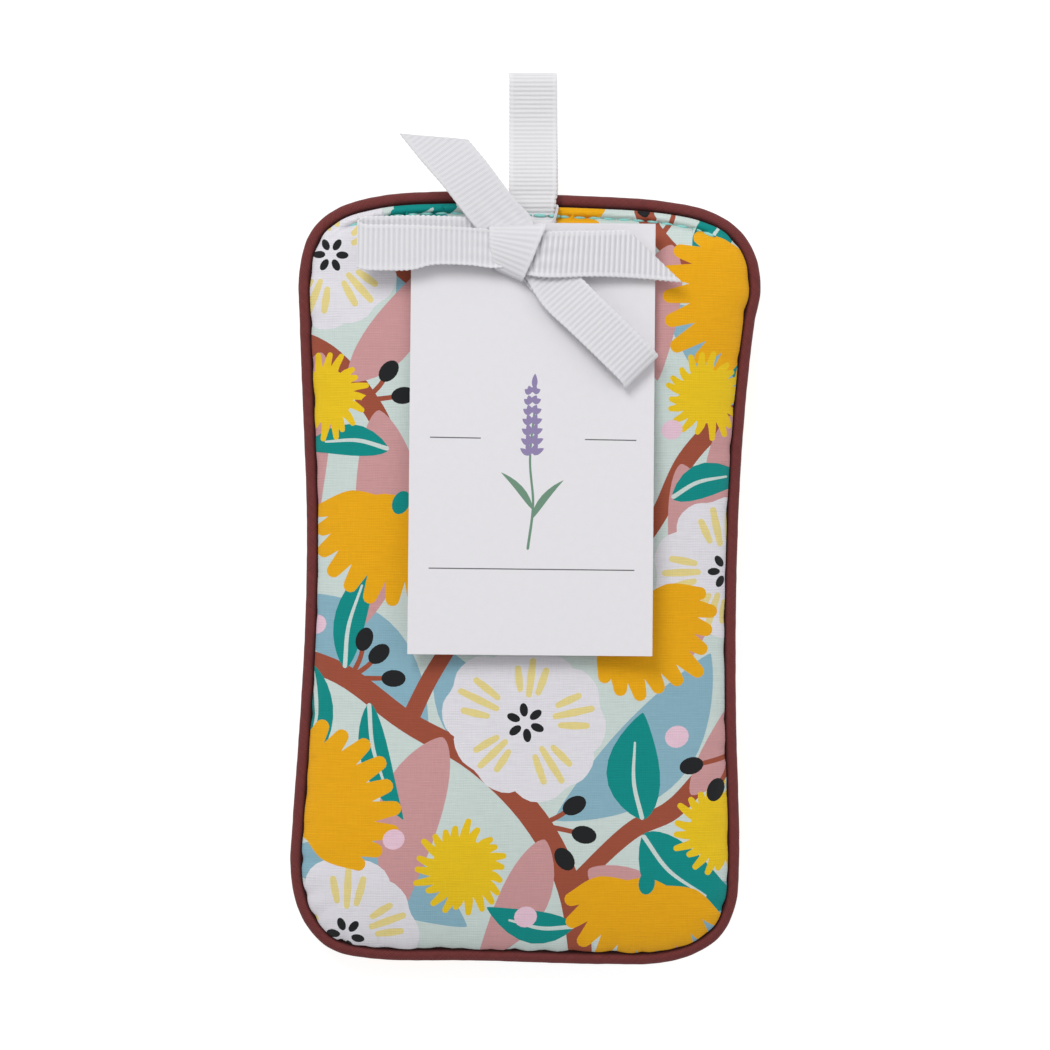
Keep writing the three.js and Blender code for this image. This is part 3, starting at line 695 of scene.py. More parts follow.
def thread_material(name, colour, scale=2600.0):
    """Spun thread with a soft shine and small uneven fibres, and painted shade where it dives into the cloth.
    """
    made, nodes, shader = new_material(name, colour, 0.5, Sheen_Weight=0.25, Specular_IOR_Level=0.4)
    fibres = nodes.noise(nodes.add("ShaderNodeTexCoord").outputs["Object"], scale, 3.0)
    # Painted shade: the colour darkens to an eighth where the mesh says the thread dives into the cloth
    base = nodes.tint(nodes.from_mesh("dive"), (*colour, 1), (*(0.12 * c for c in colour), 1))
    shade_by(nodes, shader, base, fibres, 0.72, 1.18)
    raise_by(nodes, shader, fibres, 0.06 * MM)
    return made


def card_material(name):
    """Matt coated card with a faint mottle of fibres, printed with the colours kept on the mesh."""
    made, nodes, shader = new_material(name, (0.74, 0.73, 0.76), 0.52, Specular_IOR_Level=0.35)
    mottle = nodes.noise(nodes.add("ShaderNodeTexCoord").outputs["Object"], 700.0, 4.0)
    printed = nodes.add("ShaderNodeVertexColor", layer_name="print").outputs[0]
    shade_by(nodes, shader, printed, mottle, 0.975, 1.02)
    raise_by(nodes, shader, mottle, 0.02 * MM)
    return made


def bud_material(name, colour):
    """Dried lavender buds: violet grey with straw-coloured flecks, and painted shade between the buds."""
    made, nodes, shader = new_material(name, colour, 0.95)
    place = nodes.add("ShaderNodeTexCoord").outputs["Object"]
    buds = nodes.add("ShaderNodeTexVoronoi", {"Vector": place, "Scale": 420.0}).outputs
    fleck = nodes.map_range(buds["Color"], 0.72, 0.8, 0.0, 1.0)
    # Painted shade: darker away from each bud's middle, where the buds meet
    shade_by(nodes, shader, nodes.tint(fleck, (*colour, 1), STRAW), buds["Distance"], 1.15, 0.5)
    raise_by(nodes, shader, buds["Distance"], -0.4 * MM)
    return made


# ---- The pillow


class Seam:
    """Places round the seam: the point, the way in and along, and how much lip there is."""

    # The flat lip grows over these shares of the half length, and ends over these of the half width
    LIP_TOP, LIP_SIDES = (0.86, 0.96), (0.75, 0.95)
    # The pillow is full within these shares of the seam line, across and along
    CORE = np.array([0.13, 0.46])

    def __init__(self, count):
        pillow = settings()[0]
        self.middle = pillow.seam_middle
        half = np.array([pillow.seam_width / 2, pillow.seam_length / 2])
        shares = np.array(SEAM_SHARES)
        self.point = spline(shares * half + (0, self.middle), True, count)
        tangent = unit(np.roll(self.point, -1, 0) - np.roll(self.point, 1, 0))
        self.inward = np.stack([-tangent[:, 1], tangent[:, 0]], 1)
        self.along = distances(np.vstack([self.point, self.point[:1]]))
        share = (self.point - (0, self.middle)) / half
        grown = smoothstep(share[:, 1], *self.LIP_TOP)
        self.lip = grown * (1 - smoothstep(np.abs(share[:, 0]), *self.LIP_SIDES))
        self.core = (0, self.middle) + (self.point - (0, self.middle)) * self.CORE


class Panel:
    """The middle surface of one panel of the pillow, on top (side 1) or under it (side -1)."""

    FOLD_RADIUS, FOLD_HEIGHT = 0.4 * MM, 1.5 * MM
    # The swell starts this far along its curve, and the lower panel would end this far under the floor
    START_SHARE, REST = 0.005, 0.5 * MM
    # How steeply the cloth leaves its fold, and how much further in and lower that is on the flat lip
    STEEP, LIP_STEEP = np.radians(66), np.radians(8)
    LIP_INSET, LIP_DROP = 0.2 * MM, 0.05 * MM
    # Rows of points crowd towards the fold by this power
    CROWDING = 2.1
    # The lip rolls up before the closing stitch, but not beside the loop's foot, and dips under the thread
    ROLL, ROLL_END, BESIDE_LOOP = 0.45 * MM, 0.25 * MM, (5.5 * MM, 8 * MM)
    GROOVE, GROOVE_WIDTH = 0.65 * MM, 0.34 * MM
    # The lower panel flattens softly where it meets the floor
    FLOOR_BLUR = 0.35 * MM

    def __init__(self, side, count=720, rows=110, inset=0.0):
        pillow, ribbon = settings()[:2]
        self.seam = seam = Seam(count)
        self.slope = self.STEEP * (1 - seam.lip) + self.LIP_STEEP * seam.lip
        fold_inset = pillow.fold_inset + self.LIP_INSET * seam.lip
        self.start_inset = fold_inset + pillow.cloth / 2 + self.FOLD_RADIUS * (1 - np.sin(self.slope))
        self.edge = seam.point + seam.inward * self.start_inset[:, None]
        self.fold_z = pillow.seam_height + side * (self.FOLD_HEIGHT - self.LIP_DROP * seam.lip)
        self.edge_z = self.fold_z + side * self.FOLD_RADIUS * np.cos(self.slope)
        if side > 0:
            top = pillow.crown - pillow.cloth / 2 - inset
        else:
            top = -self.REST + pillow.cloth / 2 + inset
        to_core = seam.core - self.edge
        lip = np.maximum(pillow.lip * seam.lip, 0.02 * MM)
        shares = (np.arange(rows + 1) / rows) ** self.CROWDING
        reach = (to_core * seam.inward).sum(1)
        away = shares[:, None] * reach
        grown = np.clip((away - lip) / (reach - lip), 0, 1)
        start = self.swell(self.START_SHARE)
        swell = (self.swell(self.START_SHARE + (1 - self.START_SHARE) * grown) - start) / (1 - start)
        to_stitch = pillow.stitch_inset - self.start_inset
        beside_loop = smoothstep(np.abs(self.edge[:, 0] - ribbon.hang_offset), *self.BESIDE_LOOP)
        rolled = np.clip(away / (to_stitch - self.ROLL_END), 0, 1)
        roll = self.ROLL * np.sin(np.pi * rolled) * beside_loop
        groove = self.GROOVE * np.exp(-(((away - to_stitch) / self.GROOVE_WIDTH) ** 2))
        height = self.edge_z + (top - self.edge_z) * swell + side * (roll - groove) * seam.lip
        if side < 0:
            floor, blur = pillow.cloth / 2 + inset + CLEARANCE, self.FLOOR_BLUR
            height = floor + blur * np.logaddexp(0, (height - floor) / blur)
            height -= blur * math.log(2) * np.exp(-np.abs(height - floor) / blur)
        self.rows = np.concatenate([
            self.edge + to_core * shares[:, None, None], height[..., None],
        ], axis=2)

    @staticmethod
    def swell(share):
        """How high the cloth is, from 0 at the seam to 1, at a share of the way in."""
        return np.sqrt(1 - (1 - share) ** 2)

    def surface(self):
        """The surface as a tree that rays can be cast at."""
        rows, count = self.rows.shape[:2]
        faces = grid_faces(rows, count, close_columns=True)
        faces.append(tuple(range((rows - 1) * count, rows * count)))
        return BVHTree.FromPolygons([tuple(p) for p in self.rows.reshape(-1, 3)], faces)


# Gathers along the seam: the range of their width in millimetres, and of their depth and the step to the next
# one in shares
GATHER_WIDTH, GATHER_DEPTH, GATHER_STEP = (1.1, 2.4), (0.3, 1.0), (0.6, 1.4)
# Where the cloth is least full they have this share of their depth and are this many millimetres apart; where
# it is fullest they are closer by this many
SHALLOW, APART, CLOSER = 0.45, 11, 6
# No gather starts this close before the end of the seam, and this far in from the seam they are twice as wide
LAST_GAP, SPREAD = 4 * MM, 6 * MM


def gathers(seam, depth, seed):
    """The small dips along the seam, most at the corners and the bottom: place, width and depth of each."""
    random = np.random.default_rng(seed)
    share = seam.point - (0, seam.middle)
    share /= np.abs(share).max(0)
    full = np.maximum((share[:, 0] * share[:, 1]) ** 2, smoothstep(-share[:, 1], 0.9, 1))
    found, way = [], 0.0
    while way < seam.along[-1] - LAST_GAP:
        here = full[min(np.searchsorted(seam.along, way), len(full) - 1)]
        width, deep = random.uniform(*GATHER_WIDTH) * MM, depth * random.uniform(*GATHER_DEPTH)
        found.append((way, width, deep * (SHALLOW + (1 - SHALLOW) * here)))
        way += random.uniform(*GATHER_STEP) * (APART - CLOSER * here) * MM
    return np.array(found)


def dips(along, away, total, found, fade):
    """How deep the gathers are at places along and away from the seam."""
    gap = along[:, None] - found[None, :, 0]
    gap = (gap + total / 2) % total - total / 2
    spread = found[None, :, 1] * (1 + away[:, None] / SPREAD)
    depth = (found[None, :, 2] * np.exp(-((gap / spread) ** 2))).sum(1)
    return depth * np.exp(-away / fade)


# Large and small lumps: how many there are in a metre, the cut through the noise, their size, and their level
LUMPS = ((42, 3.1, 0.32 * MM, 0.6), (150, 8.7, 0.07 * MM, 0.5))


def lumps(points):
    """Soft uneven swelling of a pillow filled with buds, never above its own height."""
    height = 0
    for rate, cut, size, level in LUMPS:
        values = [noise.noise(Vector((x * rate, y * rate, cut))) for x, y in points]
        height += size * (np.array(values) - level)
    return height


# ---- Drawing the print


def stroke(path, widths, rounded=True):
    """A brush stroke along a path, as wide as given at its start and end, with soft ends."""
    line = spline(path, False, 6 * len(path))
    way = unit(np.gradient(line, axis=0))
    side = np.stack([-way[:, 1], way[:, 0]], 1)
    half = np.interp(np.linspace(0, 1, len(line)), np.linspace(0, 1, len(widths)), widths)[:, None] / 2
    left, right = line + side * half, line - side * half
    if not rounded:
        return np.vstack([left, right[::-1]])
    angles = np.linspace(0, np.pi, 7)[1:-1]
    tip = [line[-1] + half[-1] * (side[-1] * np.cos(a) + way[-1] * np.sin(a)) for a in angles]
    root = [line[0] - half[0] * (side[0] * np.cos(a) + way[0] * np.sin(a)) for a in angles]
    return np.vstack([left, tip, right[::-1], root])


def leaf(base, tip, width, bend, fullest=0.42):
    """A leaf from its base to its tip, widest at the given share, bent to one side."""
    base, tip = np.array(base, float), np.array(tip, float)
    way = tip - base
    size = np.linalg.norm(way)
    side = np.array([-way[1], way[0]]) / size
    share = (1 - np.cos(np.linspace(0, np.pi, max(11, int(size / 1.5)))[:, None])) / 2
    middle = base + way * share + side * bend * 4 * share * (1 - share)
    power = math.log(0.5) / math.log(fullest)
    half = width / 2 * np.sin(np.pi * share**power) ** 0.8
    return np.vstack([middle + side * half, (middle - side * half)[-2:0:-1]])


def petal(base, tip, width):
    """A broad round-ended petal, with a soft dip in its rim."""
    base, tip = np.array(base, float), np.array(tip, float)
    way = tip - base
    side = np.array([-way[1], way[0]]) / np.linalg.norm(way) * width / 2
    shares = ((0, 0.16), (0.3, 0.62), (0.6, 0.98), (0.84, 0.86), (0.97, 0.42), (0.95, 0.02),
              (0.98, -0.38), (0.86, -0.84), (0.6, -1), (0.3, -0.66), (0, -0.16))
    return spline([base + way * a + side * b for a, b in shares], True, 30)


def disc(centre, radius, squash=1.0, turn=0.0, steps=18):
    """A round or oval spot, turned about its centre."""
    angles = np.arange(steps) * 2 * np.pi / steps
    x, y = radius * np.cos(angles), radius * squash * np.sin(angles)
    rotated = np.stack([x * math.cos(turn) - y * math.sin(turn), x * math.sin(turn) + y * math.cos(turn)], 1)
    return np.array(centre) + rotated


def turned(centre, distance, heading):
    """The place at a distance from a centre in the direction of a heading."""
    return (centre[0] + distance * math.cos(heading), centre[1] + distance * math.sin(heading))


def magnolia(centre, radius, turn, seed, count=5):
    """A large white blossom: broad petals, soft strokes on each, and dark stamens in the middle."""
    random = np.random.default_rng(seed)
    parts, headings = [], []
    for i in range(count):
        heading = turn + 2 * math.pi * (i + random.uniform(-0.08, 0.08)) / count
        reach = radius * random.uniform(0.9, 1.06)
        headings.append((heading, reach))
        root, rim = turned(centre, -radius * 0.06, heading), turned(centre, reach, heading)
        parts.append(("white", petal(root, rim, radius * 1.12)))
    parts.append(("white", disc(centre, radius * 0.42)))
    for heading, reach in headings:
        for aside, low, high in ((-0.3, 0.44, 0.76), (0.0, 0.38, 0.84), (0.3, 0.46, 0.74)):
            shares = (low, (low + high) / 2, high)
            path = [turned(centre, reach * s, heading + aside * (1.05 - 0.25 * s)) for s in shares]
            parts.append(("cream", stroke(path, (1.2, 1.6, 1.3))))
    for i in range(count + 1):
        heading = turn + 0.5 + 2 * math.pi * i / (count + 1)
        parts.append(("ink", disc(turned(centre, radius * 0.16, heading), radius * 0.085, 0.6, heading)))
    return parts


def brush_bloom(base, heading, size, spread, width, seed):
    """A blossom seen from the side: fat brush strokes that fan out of a round base, uneven at their ends."""
    random = np.random.default_rng(seed)
    parts = [("mustard", disc(turned(base, size * 0.36, heading), size * 0.36, 1.12, heading, steps=26))]
    for share in np.linspace(-1, 1, 10):
        away = heading + share * spread / 2
        reach = size * (1 - 0.2 * share**2) * random.uniform(0.93, 1.03)
        path = [turned(base, size * 0.2, heading + share * 0.5), turned(base, reach * 0.62, away),
                turned(base, reach, away - share * 0.06)]
        parts.append(("mustard", stroke(path, (width, width * 1.05, width * 0.6))))
    parts.append(("teal", disc(turned(base, size * 0.05, heading), size * 0.12, 0.7, heading)))
    return parts


def pompom(centre, radius, count, turn, seed):
    """A round blossom of separate brush strokes over a soft middle."""
    random = np.random.default_rng(seed)
    parts = [("yellow", disc(centre, radius * 0.66, steps=24))]
    for i in range(count):
        heading = turn + 2 * math.pi * (i + random.uniform(-0.2, 0.2)) / count
        tip = turned(centre, radius * random.uniform(0.84, 1.04), heading)
        middle = turned(centre, radius * 0.7, heading + 0.06)
        parts.append(("yellow", stroke([turned(centre, radius * 0.42, heading), middle, tip],
                                       (radius * 0.24, radius * 0.2, radius * 0.13))))
    return parts


def berries(root, places, size):
    """Dark oval berries on thin stalks."""
    parts = [("rust", stroke([root, ((root[0] + x) / 2 + 0.6, (root[1] + y) / 2), (x, y)], (1.1, 0.9)))
             for x, y in places]
    for i, (x, y) in enumerate(places):
        heading = math.atan2(y - root[1], x - root[0])
        parts.append(("ink", disc((x, y), size, 0.7, heading)))
    return parts


def veined(base, tip, width, bend):
    """A broad leaf with a thin gap along its midrib."""
    base, tip = np.array(base, float), np.array(tip, float)
    way = tip - base
    side = np.array([-way[1], way[0]]) / np.linalg.norm(way)
    middle = [base + way * s + side * bend * 4 * s * (1 - s) for s in (0.02, 0.35, 0.72)]
    return [("teal", leaf(base, tip, width, bend)), ("ground", stroke(middle, (0.9, 0.8, 0.45)))]


def botanical_print():
    """Leaves, branches, blossoms and berries for the panel, in millimetres, with later ones on top."""
    parts = []
    for base, tip, width, bend in (
        ((-51, -16), (-20, -44), 15, 4), ((38, -28), (6, -62), 16, 5), ((51, 12), (28, 44), 14, -4),
        ((2, -52), (-18, -26), 13, 3), ((-12, -84), (-52, -70), 14, -4), ((48, -76), (20, -96), 13, -3),
        ((-22, 70), (-26, 38), 12, 4), ((4, 30), (20, 4), 13, 4), ((-2, 34), (-20, 46), 12, -3),
        ((2, -6), (-18, -14), 11, 3),
    ):
        parts.append(("blue", leaf(base, tip, width, bend, 0.5)))
    for path, widths in (
        ([(-50, -28), (-38, -32), (-24, -42), (-10, -50), (2, -62), (9, -76), (12, -96)],
         (4.6, 4.4, 5.2, 4.8)),
        ([(-24, -42), (-19, -32), (-12, -22), (-4, -16), (1, -6), (3, 13)], (3.6, 3.0, 2.6)),
        ([(50, -46), (40, -50), (30, -60), (22, -64), (9, -76)], (3.4, 4.2, 3.2)),
        ([(50, 24), (41, 20), (33, 12), (27, 0), (20, -10)], (4.2, 3.8, 3.0)),
        ([(-50, 38), (-40, 33), (-31, 22), (-24, 8), (-12, 0)], (4.4, 4.2, 3.2)),
        ([(22, 68), (27, 58), (36, 50), (50, 46)], (3.6, 3.4, 3.8)),
        ([(-34, 66), (-30, 56), (-20, 47), (-6, 44), (4, 36), (7, 24), (2, 12), (-6, 3), (-12, 0)],
         (3.6, 3.0, 3.4, 3.0)),
        ([(2, 12), (10, 6), (17, -2), (20, -10)], (3.0, 2.8, 3.0)),
    ):
        parts.append(("rust", stroke(path, widths)))
    for base, tip, width, bend in (
        ((-42, 34), (-43, -2), 11, -3), ((-30, 22), (-33, -22), 13, 3), ((-36, 28), (-20, 52), 10, -2),
        ((-17, -45), (-26, -82), 13, -3), ((32, 11), (33, -30), 12, 3), ((42, 21), (46, -14), 10, -2),
        ((13, -72), (33, -93), 11, 3), ((30, 56), (27, 28), 10, -2), ((4, -66), (-10, -92), 10, 2),
        ((34, -57), (45, -34), 8, -2), ((8, 20), (22, 33), 10, 2), ((4, 8), (19, 14), 8, -2),
        ((-5, -15), (7, -26), 9, 2), ((-14, 50), (-6, 60), 8, 2),
    ):
        parts.append(("pink", leaf(base, tip, width, bend)))
    for base, tip, width, bend in (
        ((-37, -31), (-30, -8), 6.5, 2), ((-44, -30), (-46, -54), 7, 2), ((24, -62), (24, -40), 11, 2),
        ((30, 4), (46, 8), 7, 2), ((-28, 14), (-46, 14), 6.5, -2), ((36, 50), (46, 66), 8, 2),
        ((38, 50), (44, 26), 8, 2), ((-30, 57), (-14, 64), 7, 2), ((24, -65), (44, -80), 13, -3),
        ((10, -84), (-8, -80), 7, 2), ((-32, -38), (-25, -62), 6, -2), ((2, 38), (-9, 54), 8, 2),
        ((8, 6), (21, 0), 7, -2), ((-1, -8), (-16, -4), 7, 2), ((-2, -14), (-17, -24), 7, -2),
    ):
        parts += veined(base, tip, width, bend)
    for centre, radius, turn, seed in (
        ((-37, -86), 16, 0.35, 26), ((41, -11), 15, 0.6, 26), ((0, -42), 16.5, 0.15, 21),
        ((-40, 54), 15, 0.5, 22), ((40, 76), 15, 0.1, 25), ((-8, 23), 14, 0.8, 25),
    ):
        parts += magnolia(centre, radius, turn, seed)
    for base, heading, size, spread, width, seed in (
        ((-49, -62), 25, 23, 120, 5.0, 3), ((25, -74), 262, 20, 140, 4.8, 5),
        ((50, 47), 205, 22, 130, 4.8, 7), ((-25, 4), 245, 21, 120, 4.8, 9),
        ((20, -18), 312, 20, 120, 4.6, 11), ((2, 58), 75, 16, 140, 4.4, 12),
    ):
        parts += brush_bloom(base, math.radians(heading), size, math.radians(spread), width, seed)
    for centre, radius, count, turn in (
        ((40, -64), 9.5, 22, 0.1), ((-41, 25), 8.5, 20, 0.2), ((-13, -72), 9.5, 22, 0.0),
        ((37, 25), 8.5, 20, 0.4), ((16, 42), 8.5, 22, 0.3), ((10, -12), 8, 20, 0.5),
    ):
        parts += pompom(centre, radius, count, turn, count + int(radius))
    for root, ends, size in (
        ((-36, -33), [(-30, -28), (-27, -33), (-33, -25)], 2.5),
        ((42, -49), [(45, -56), (39, -56), (34, -51)], 2.5),
        ((-33, 24), [(-28, 30), (-25, 25)], 2.5),
        ((3, -63), [(10, -59), (12, -65), (8, -70)], 2.6),
        ((28, 58), [(24, 64), (31, 64)], 2.3),
        ((7, 24), [(13, 21), (15, 27)], 2.3),
        ((-14, 45), [(-17, 38), (-11, 37)], 2.2),
    ):
        parts += berries(root, ends, size)
    for centre, radius in (
        ((-22, -18), 2.3), ((31, -45), 2.5), ((-27, -66), 2.3), ((0, -82), 2.4), ((-43, -22), 2.2),
        ((30, 18), 2.2), ((-17, 10), 2.3), ((19, 22), 2.2), ((4, 48), 2.2),
    ):
        parts.append(("blush", disc(centre, radius, 0.9, 0.4, steps=16)))
    return parts


def sprig_print():
    """A plain sprig of lavender and three thin rules for the card, in millimetres from its hole."""
    parts = []
    for left, right, level in ((-20.8, -10.4, -38.4), (10.9, 21.4, -38.6), (-20.8, 21.2, -65.2)):
        parts.append(("rule", stroke([(left, level), (right, level - 0.1)], (0.24, 0.24), rounded=False)))
    stem = [(-0.6, -61), (0.4, -52), (-0.3, -43), (0.5, -33)]
    parts.append(("stalk", stroke(stem, (0.55, 0.4))))
    parts.append(("stalk", leaf((0.1, -55), (6.6, -47), 1.5, 0.7)))
    parts.append(("stalk", leaf((0.3, -53), (-6.2, -45.5), 1.5, -0.7)))
    for i in range(7):
        base, size = (0.1, -42 + i * 2.1), 2.5 - 0.16 * i
        for heading in (0.55, math.pi - 0.55, 1.15, math.pi - 1.15):
            near, far = turned(base, 0.35, heading), turned(base, size + 0.35, heading)
            parts.append(("sprig", leaf(near, far, 1.2, 0.1)))
    parts.append(("sprig", leaf((0.45, -28.2), (0.6, -25.2), 1.2, 0)))
    return parts


def inside(points, polygon):
    """Which points lie in a polygon."""
    x, y = points[:, 0], points[:, 1]
    low, high = polygon.min(0), polygon.max(0)
    near = np.flatnonzero((x > low[0]) & (x < high[0]) & (y > low[1]) & (y < high[1]))
    hit = np.zeros(len(points), bool)
    if not len(near):
        return hit
    px, py = x[near, None], y[near, None]
    ax, ay = polygon[:, 0], polygon[:, 1]
    bx, by = np.roll(ax, -1), np.roll(ay, -1)
    rise = np.where(by == ay, 1e-12, by - ay)
    crosses = ((ay > py) != (by > py)) & (px < (bx - ax) * (py - ay) / rise + ax)
    hit[near] = crosses.sum(1) % 2 == 1
    return hit


def far_from(known, points, gap):
    """Which points lie further than a gap from all the known ones."""
    tree = plan_tree(known)
    return np.array([tree.find((x, y, 0))[2] > gap for x, y in points], bool)


def cut_print(outline, holes, parts, spacing, rings=()):
    """Triangles inside an outline that keep every printed edge and ring point, and each one's colour name."""
    loops = [outline, *holes, *[polygon for _, polygon in parts]]
    drawn = np.vstack(loops)
    edges, first = [], 0
    for loop in loops:
        count = len(loop)
        edges += [(first + i, first + (i + 1) % count) for i in range(count)]
        first += count
    low, high = outline.min(0), outline.max(0)
    x, y = np.meshgrid(np.arange(low[0], high[0], spacing), np.arange(low[1], high[1], spacing * 0.87))
    x[1::2] += spacing / 2
    grid = np.stack([x.ravel(), y.ravel()], 1)
    rings = np.array(rings).reshape(-1, 2)
    rings = rings[far_from(drawn, rings, 0.16)]
    grid = grid[far_from(np.vstack([drawn, rings]), grid, spacing * 0.4)]
    grid = np.vstack([rings, grid[inside(grid, outline)]])
    coordinates = [Vector(p) for p in np.vstack([drawn, grid])]
    points, _, faces, *_ = geometry.delaunay_2d_cdt(coordinates, edges, [], 0, 0.02, False)
    points, faces = np.array([tuple(p) for p in points]), np.array(faces)
    middle = points[faces].mean(1)
    keep = inside(middle, outline)
    for hole in holes:
        keep &= ~inside(middle, hole)
    faces, middle = faces[keep], middle[keep]
    colour = np.full(len(faces), "", dtype=object)
    for name, polygon in parts:
        colour[inside(middle, polygon)] = name
    used, faces = np.unique(faces, return_inverse=True)
    return points[used], faces.reshape(-1, 3), colour


def smooth_normals(points, triangles, quads):
    """The normal at each point, in which a face weighs as much as its area, and slivers nothing."""
    normals = np.zeros_like(points)
    for faces, ends in ((triangles, (0, 1, 0, 2)), (quads, (0, 2, 1, 3))):
        a, b, c, d = (points[faces[:, k]] for k in ends)
        cross = np.cross(b - a, d - c)
        for k in range(faces.shape[1]):
            np.add.at(normals, faces[:, k], cross)
    return unit(normals)


def border(faces):
    """The edges that only one face has, in that face's own direction, and the face."""
    seen = {}
    for index, face in enumerate(faces):
        for i in range(3):
            a, b = int(face[i]), int(face[(i + 1) % 3])
            seen[(a, b)] = index
    return [(a, b, index) for (a, b), index in seen.items() if (b, a) not in seen]


def paint(piece, colours, names, fallback):
    """Keeps each face's printed colour on its corners."""
    palette = {name: (*getattr(colours, name), 1.0) for name in set(names) if name}
    palette[""] = (*fallback, 1.0)
    mesh = piece.data
    attribute = mesh.color_attributes.new("print", "FLOAT_COLOR", "CORNER")
    values = np.zeros((len(mesh.loops), 4), np.float32)
    for face, name in zip(mesh.polygons, names):
        values[face.loop_start:face.loop_start + face.loop_total] = palette[name]
    attribute.data.foreach_set("color", values.ravel())


# Points of a printed mesh lie this far apart, in millimetres, on a panel and on the card
PANEL_SPACING, CARD_SPACING = 1.15, 2.2
# Rings of points along the seam, in millimetres from the fold: all round, and more of them on the flat lip
RINGS = (0.25, 0.55, 0.95, 1.45, 2.1)
LIP_RINGS = (0.4, 0.75, 1.15, 1.25, 1.35, 1.55, 1.65, 1.75, 1.9, 2.4, 2.8)
# The gathers fade away from the seam: their dips over the first length, their sideways pull over the second
DIP_FADE, SWAY_FADE, SWAY = 5.5 * MM, 1.2 * MM, 0.75
# A dip has this share of its depth at the fold and all of it this far in; the lip holds this share of it back
FOLD_SHARE, FULL_DIP, LIP_HOLD = 0.35, 3 * MM, 0.8
# The lumps grow over this way from the seam
LUMP_RISE = (1 * MM, 9 * MM)
# How far the turned-in edges lie above and below the seam, and how much shorter than the allowance they are
FLANGE_HEIGHT, FLANGE_CUT = 1.05 * MM, 0.65 * MM
# Rows round the fold, rows in the turned-in edge, and the way from row to row in the cloth's map
FOLD_ROWS, FLANGE_ROWS, ROW_WAY = 6, (0.33, 0.66, 1.0), 0.3 * MM


def fold_rows(panel, side, slope, fold_z):
    """The rows that follow the rim round the fold and into the seam: how far in, and how high."""
    pillow = settings()[0]
    start = np.pi / 2 + slope
    rows = []
    for share in np.linspace(0, 1, FOLD_ROWS + 1)[1:]:
        turn = (1 - share) * start + share * 1.5 * np.pi
        inset = panel.FOLD_RADIUS * (np.cos(turn) - np.cos(start))
        rows.append((inset, fold_z + side * panel.FOLD_RADIUS * np.sin(turn)))
    deep, level = rows[-1]
    flange = pillow.seam_height + side * FLANGE_HEIGHT
    for share in FLANGE_ROWS:
        rows.append((deep + share * (pillow.allowance - FLANGE_CUT), level + share * (flange - level)))
    return rows


def sew_panel(name, side, parts):
    """One panel: the printed face, the fold at the piping and the allowance that is turned in."""
    pillow, _, _, colours = settings()
    panel = Panel(side)
    seam = panel.seam
    lip = seam.lip > 0.02
    rings = [panel.edge + seam.inward * away * MM for away in RINGS]
    rings += [(panel.edge + seam.inward * away * MM)[lip] for away in LIP_RINGS]
    flat, faces, names = cut_print(panel.edge / MM, [], parts, PANEL_SPACING, np.vstack(rings) / MM)
    flat = flat * MM
    tree = plan_tree(seam.point)
    nearest = [tree.find((x, y, 0)) for x, y in flat]
    station = np.array([n[1] for n in nearest])
    away = np.maximum(np.array([n[2] for n in nearest]) - panel.start_inset[station], 0)
    edges = border(faces)
    rim = sorted({i for a, b, _ in edges for i in (a, b)})
    at_rim = station[rim]

    surface = panel.surface()
    height = panel.edge_z[station]
    for i, (x, y) in enumerate(flat):
        level = height_on(surface, x, y, side)
        height[i] = height[i] if level is None else level
    height[rim] = panel.edge_z[at_rim]
    along, total = seam.along[station], seam.along[-1]
    found = gathers(seam, pillow.pucker, 11 if side > 0 else 23)
    loose = 1 - LIP_HOLD * seam.lip[station]
    folded = dips(along, away, total, found, DIP_FADE) * loose
    sway = SWAY * dips(along, away, total, found, SWAY_FADE) * loose
    rise = np.clip(away / FULL_DIP, 0, 1)
    if side > 0:
        height += lumps(flat) * smoothstep(away, *LUMP_RISE)
        height -= folded * (FOLD_SHARE + (1 - FOLD_SHARE) * rise)
    else:
        height += folded * rise
        height = np.maximum(height, pillow.cloth / 2 + CLEARANCE)
    middle = np.column_stack([flat + seam.inward[station] * sway[:, None], height])

    rows = fold_rows(panel, side, panel.slope[at_rim], panel.fold_z[at_rim])
    base, inward = middle[rim], seam.inward[at_rim]
    drop = base[:, 2] - panel.edge_z[at_rim]
    points, uv = [middle], [flat]
    for depth, (inset, z) in enumerate(rows):
        row = base[:, :2] + inward * inset[:, None]
        points.append(np.column_stack([row, z + drop * max(0.0, 1 - depth / 5)]))
        uv.append(flat[rim] - inward * (depth + 1) * ROW_WAY)
    index = {vertex: k for k, vertex in enumerate(rim)}
    quads, quad_names = [], []
    size, first = len(rim), len(flat)
    for a, b, face in edges:
        for depth in range(len(rows)):
            upper = [a, b] if depth == 0 else [first + (depth - 1) * size + index[v] for v in (a, b)]
            lower = [first + depth * size + index[v] for v in (a, b)]
            quads.append((upper[1], upper[0], lower[0], lower[1]))
            quad_names.append(names[face])
    if side < 0:
        faces, quads = faces[:, ::-1], [tuple(reversed(f)) for f in quads]

    sheet = np.vstack(points)
    normals = smooth_normals(sheet, faces, np.array(quads))
    count = len(sheet)
    single = [tuple(int(i) for i in f) for f in faces] + quads
    inner = [tuple(i + count for i in reversed(f)) for f in single]
    last = count - size
    hem = [(last + index[a], last + index[b], last + index[b] + count, last + index[a] + count)
           for a, b, _ in edges]
    if side < 0:
        hem = [tuple(reversed(f)) for f in hem]
    half = normals * pillow.cloth / 2
    piece = new_object(name, np.vstack([sheet + half, sheet - half]), single + inner + hem)
    lay_uv(piece, "cloth", np.vstack(uv * 2))
    every = list(names) + quad_names
    paint(piece, colours, every + every + [names[face] for _, _, face in edges], colours.ground)
    piece.data.normals_split_custom_set_from_vertices(np.vstack([normals, -normals]).tolist())
    return piece


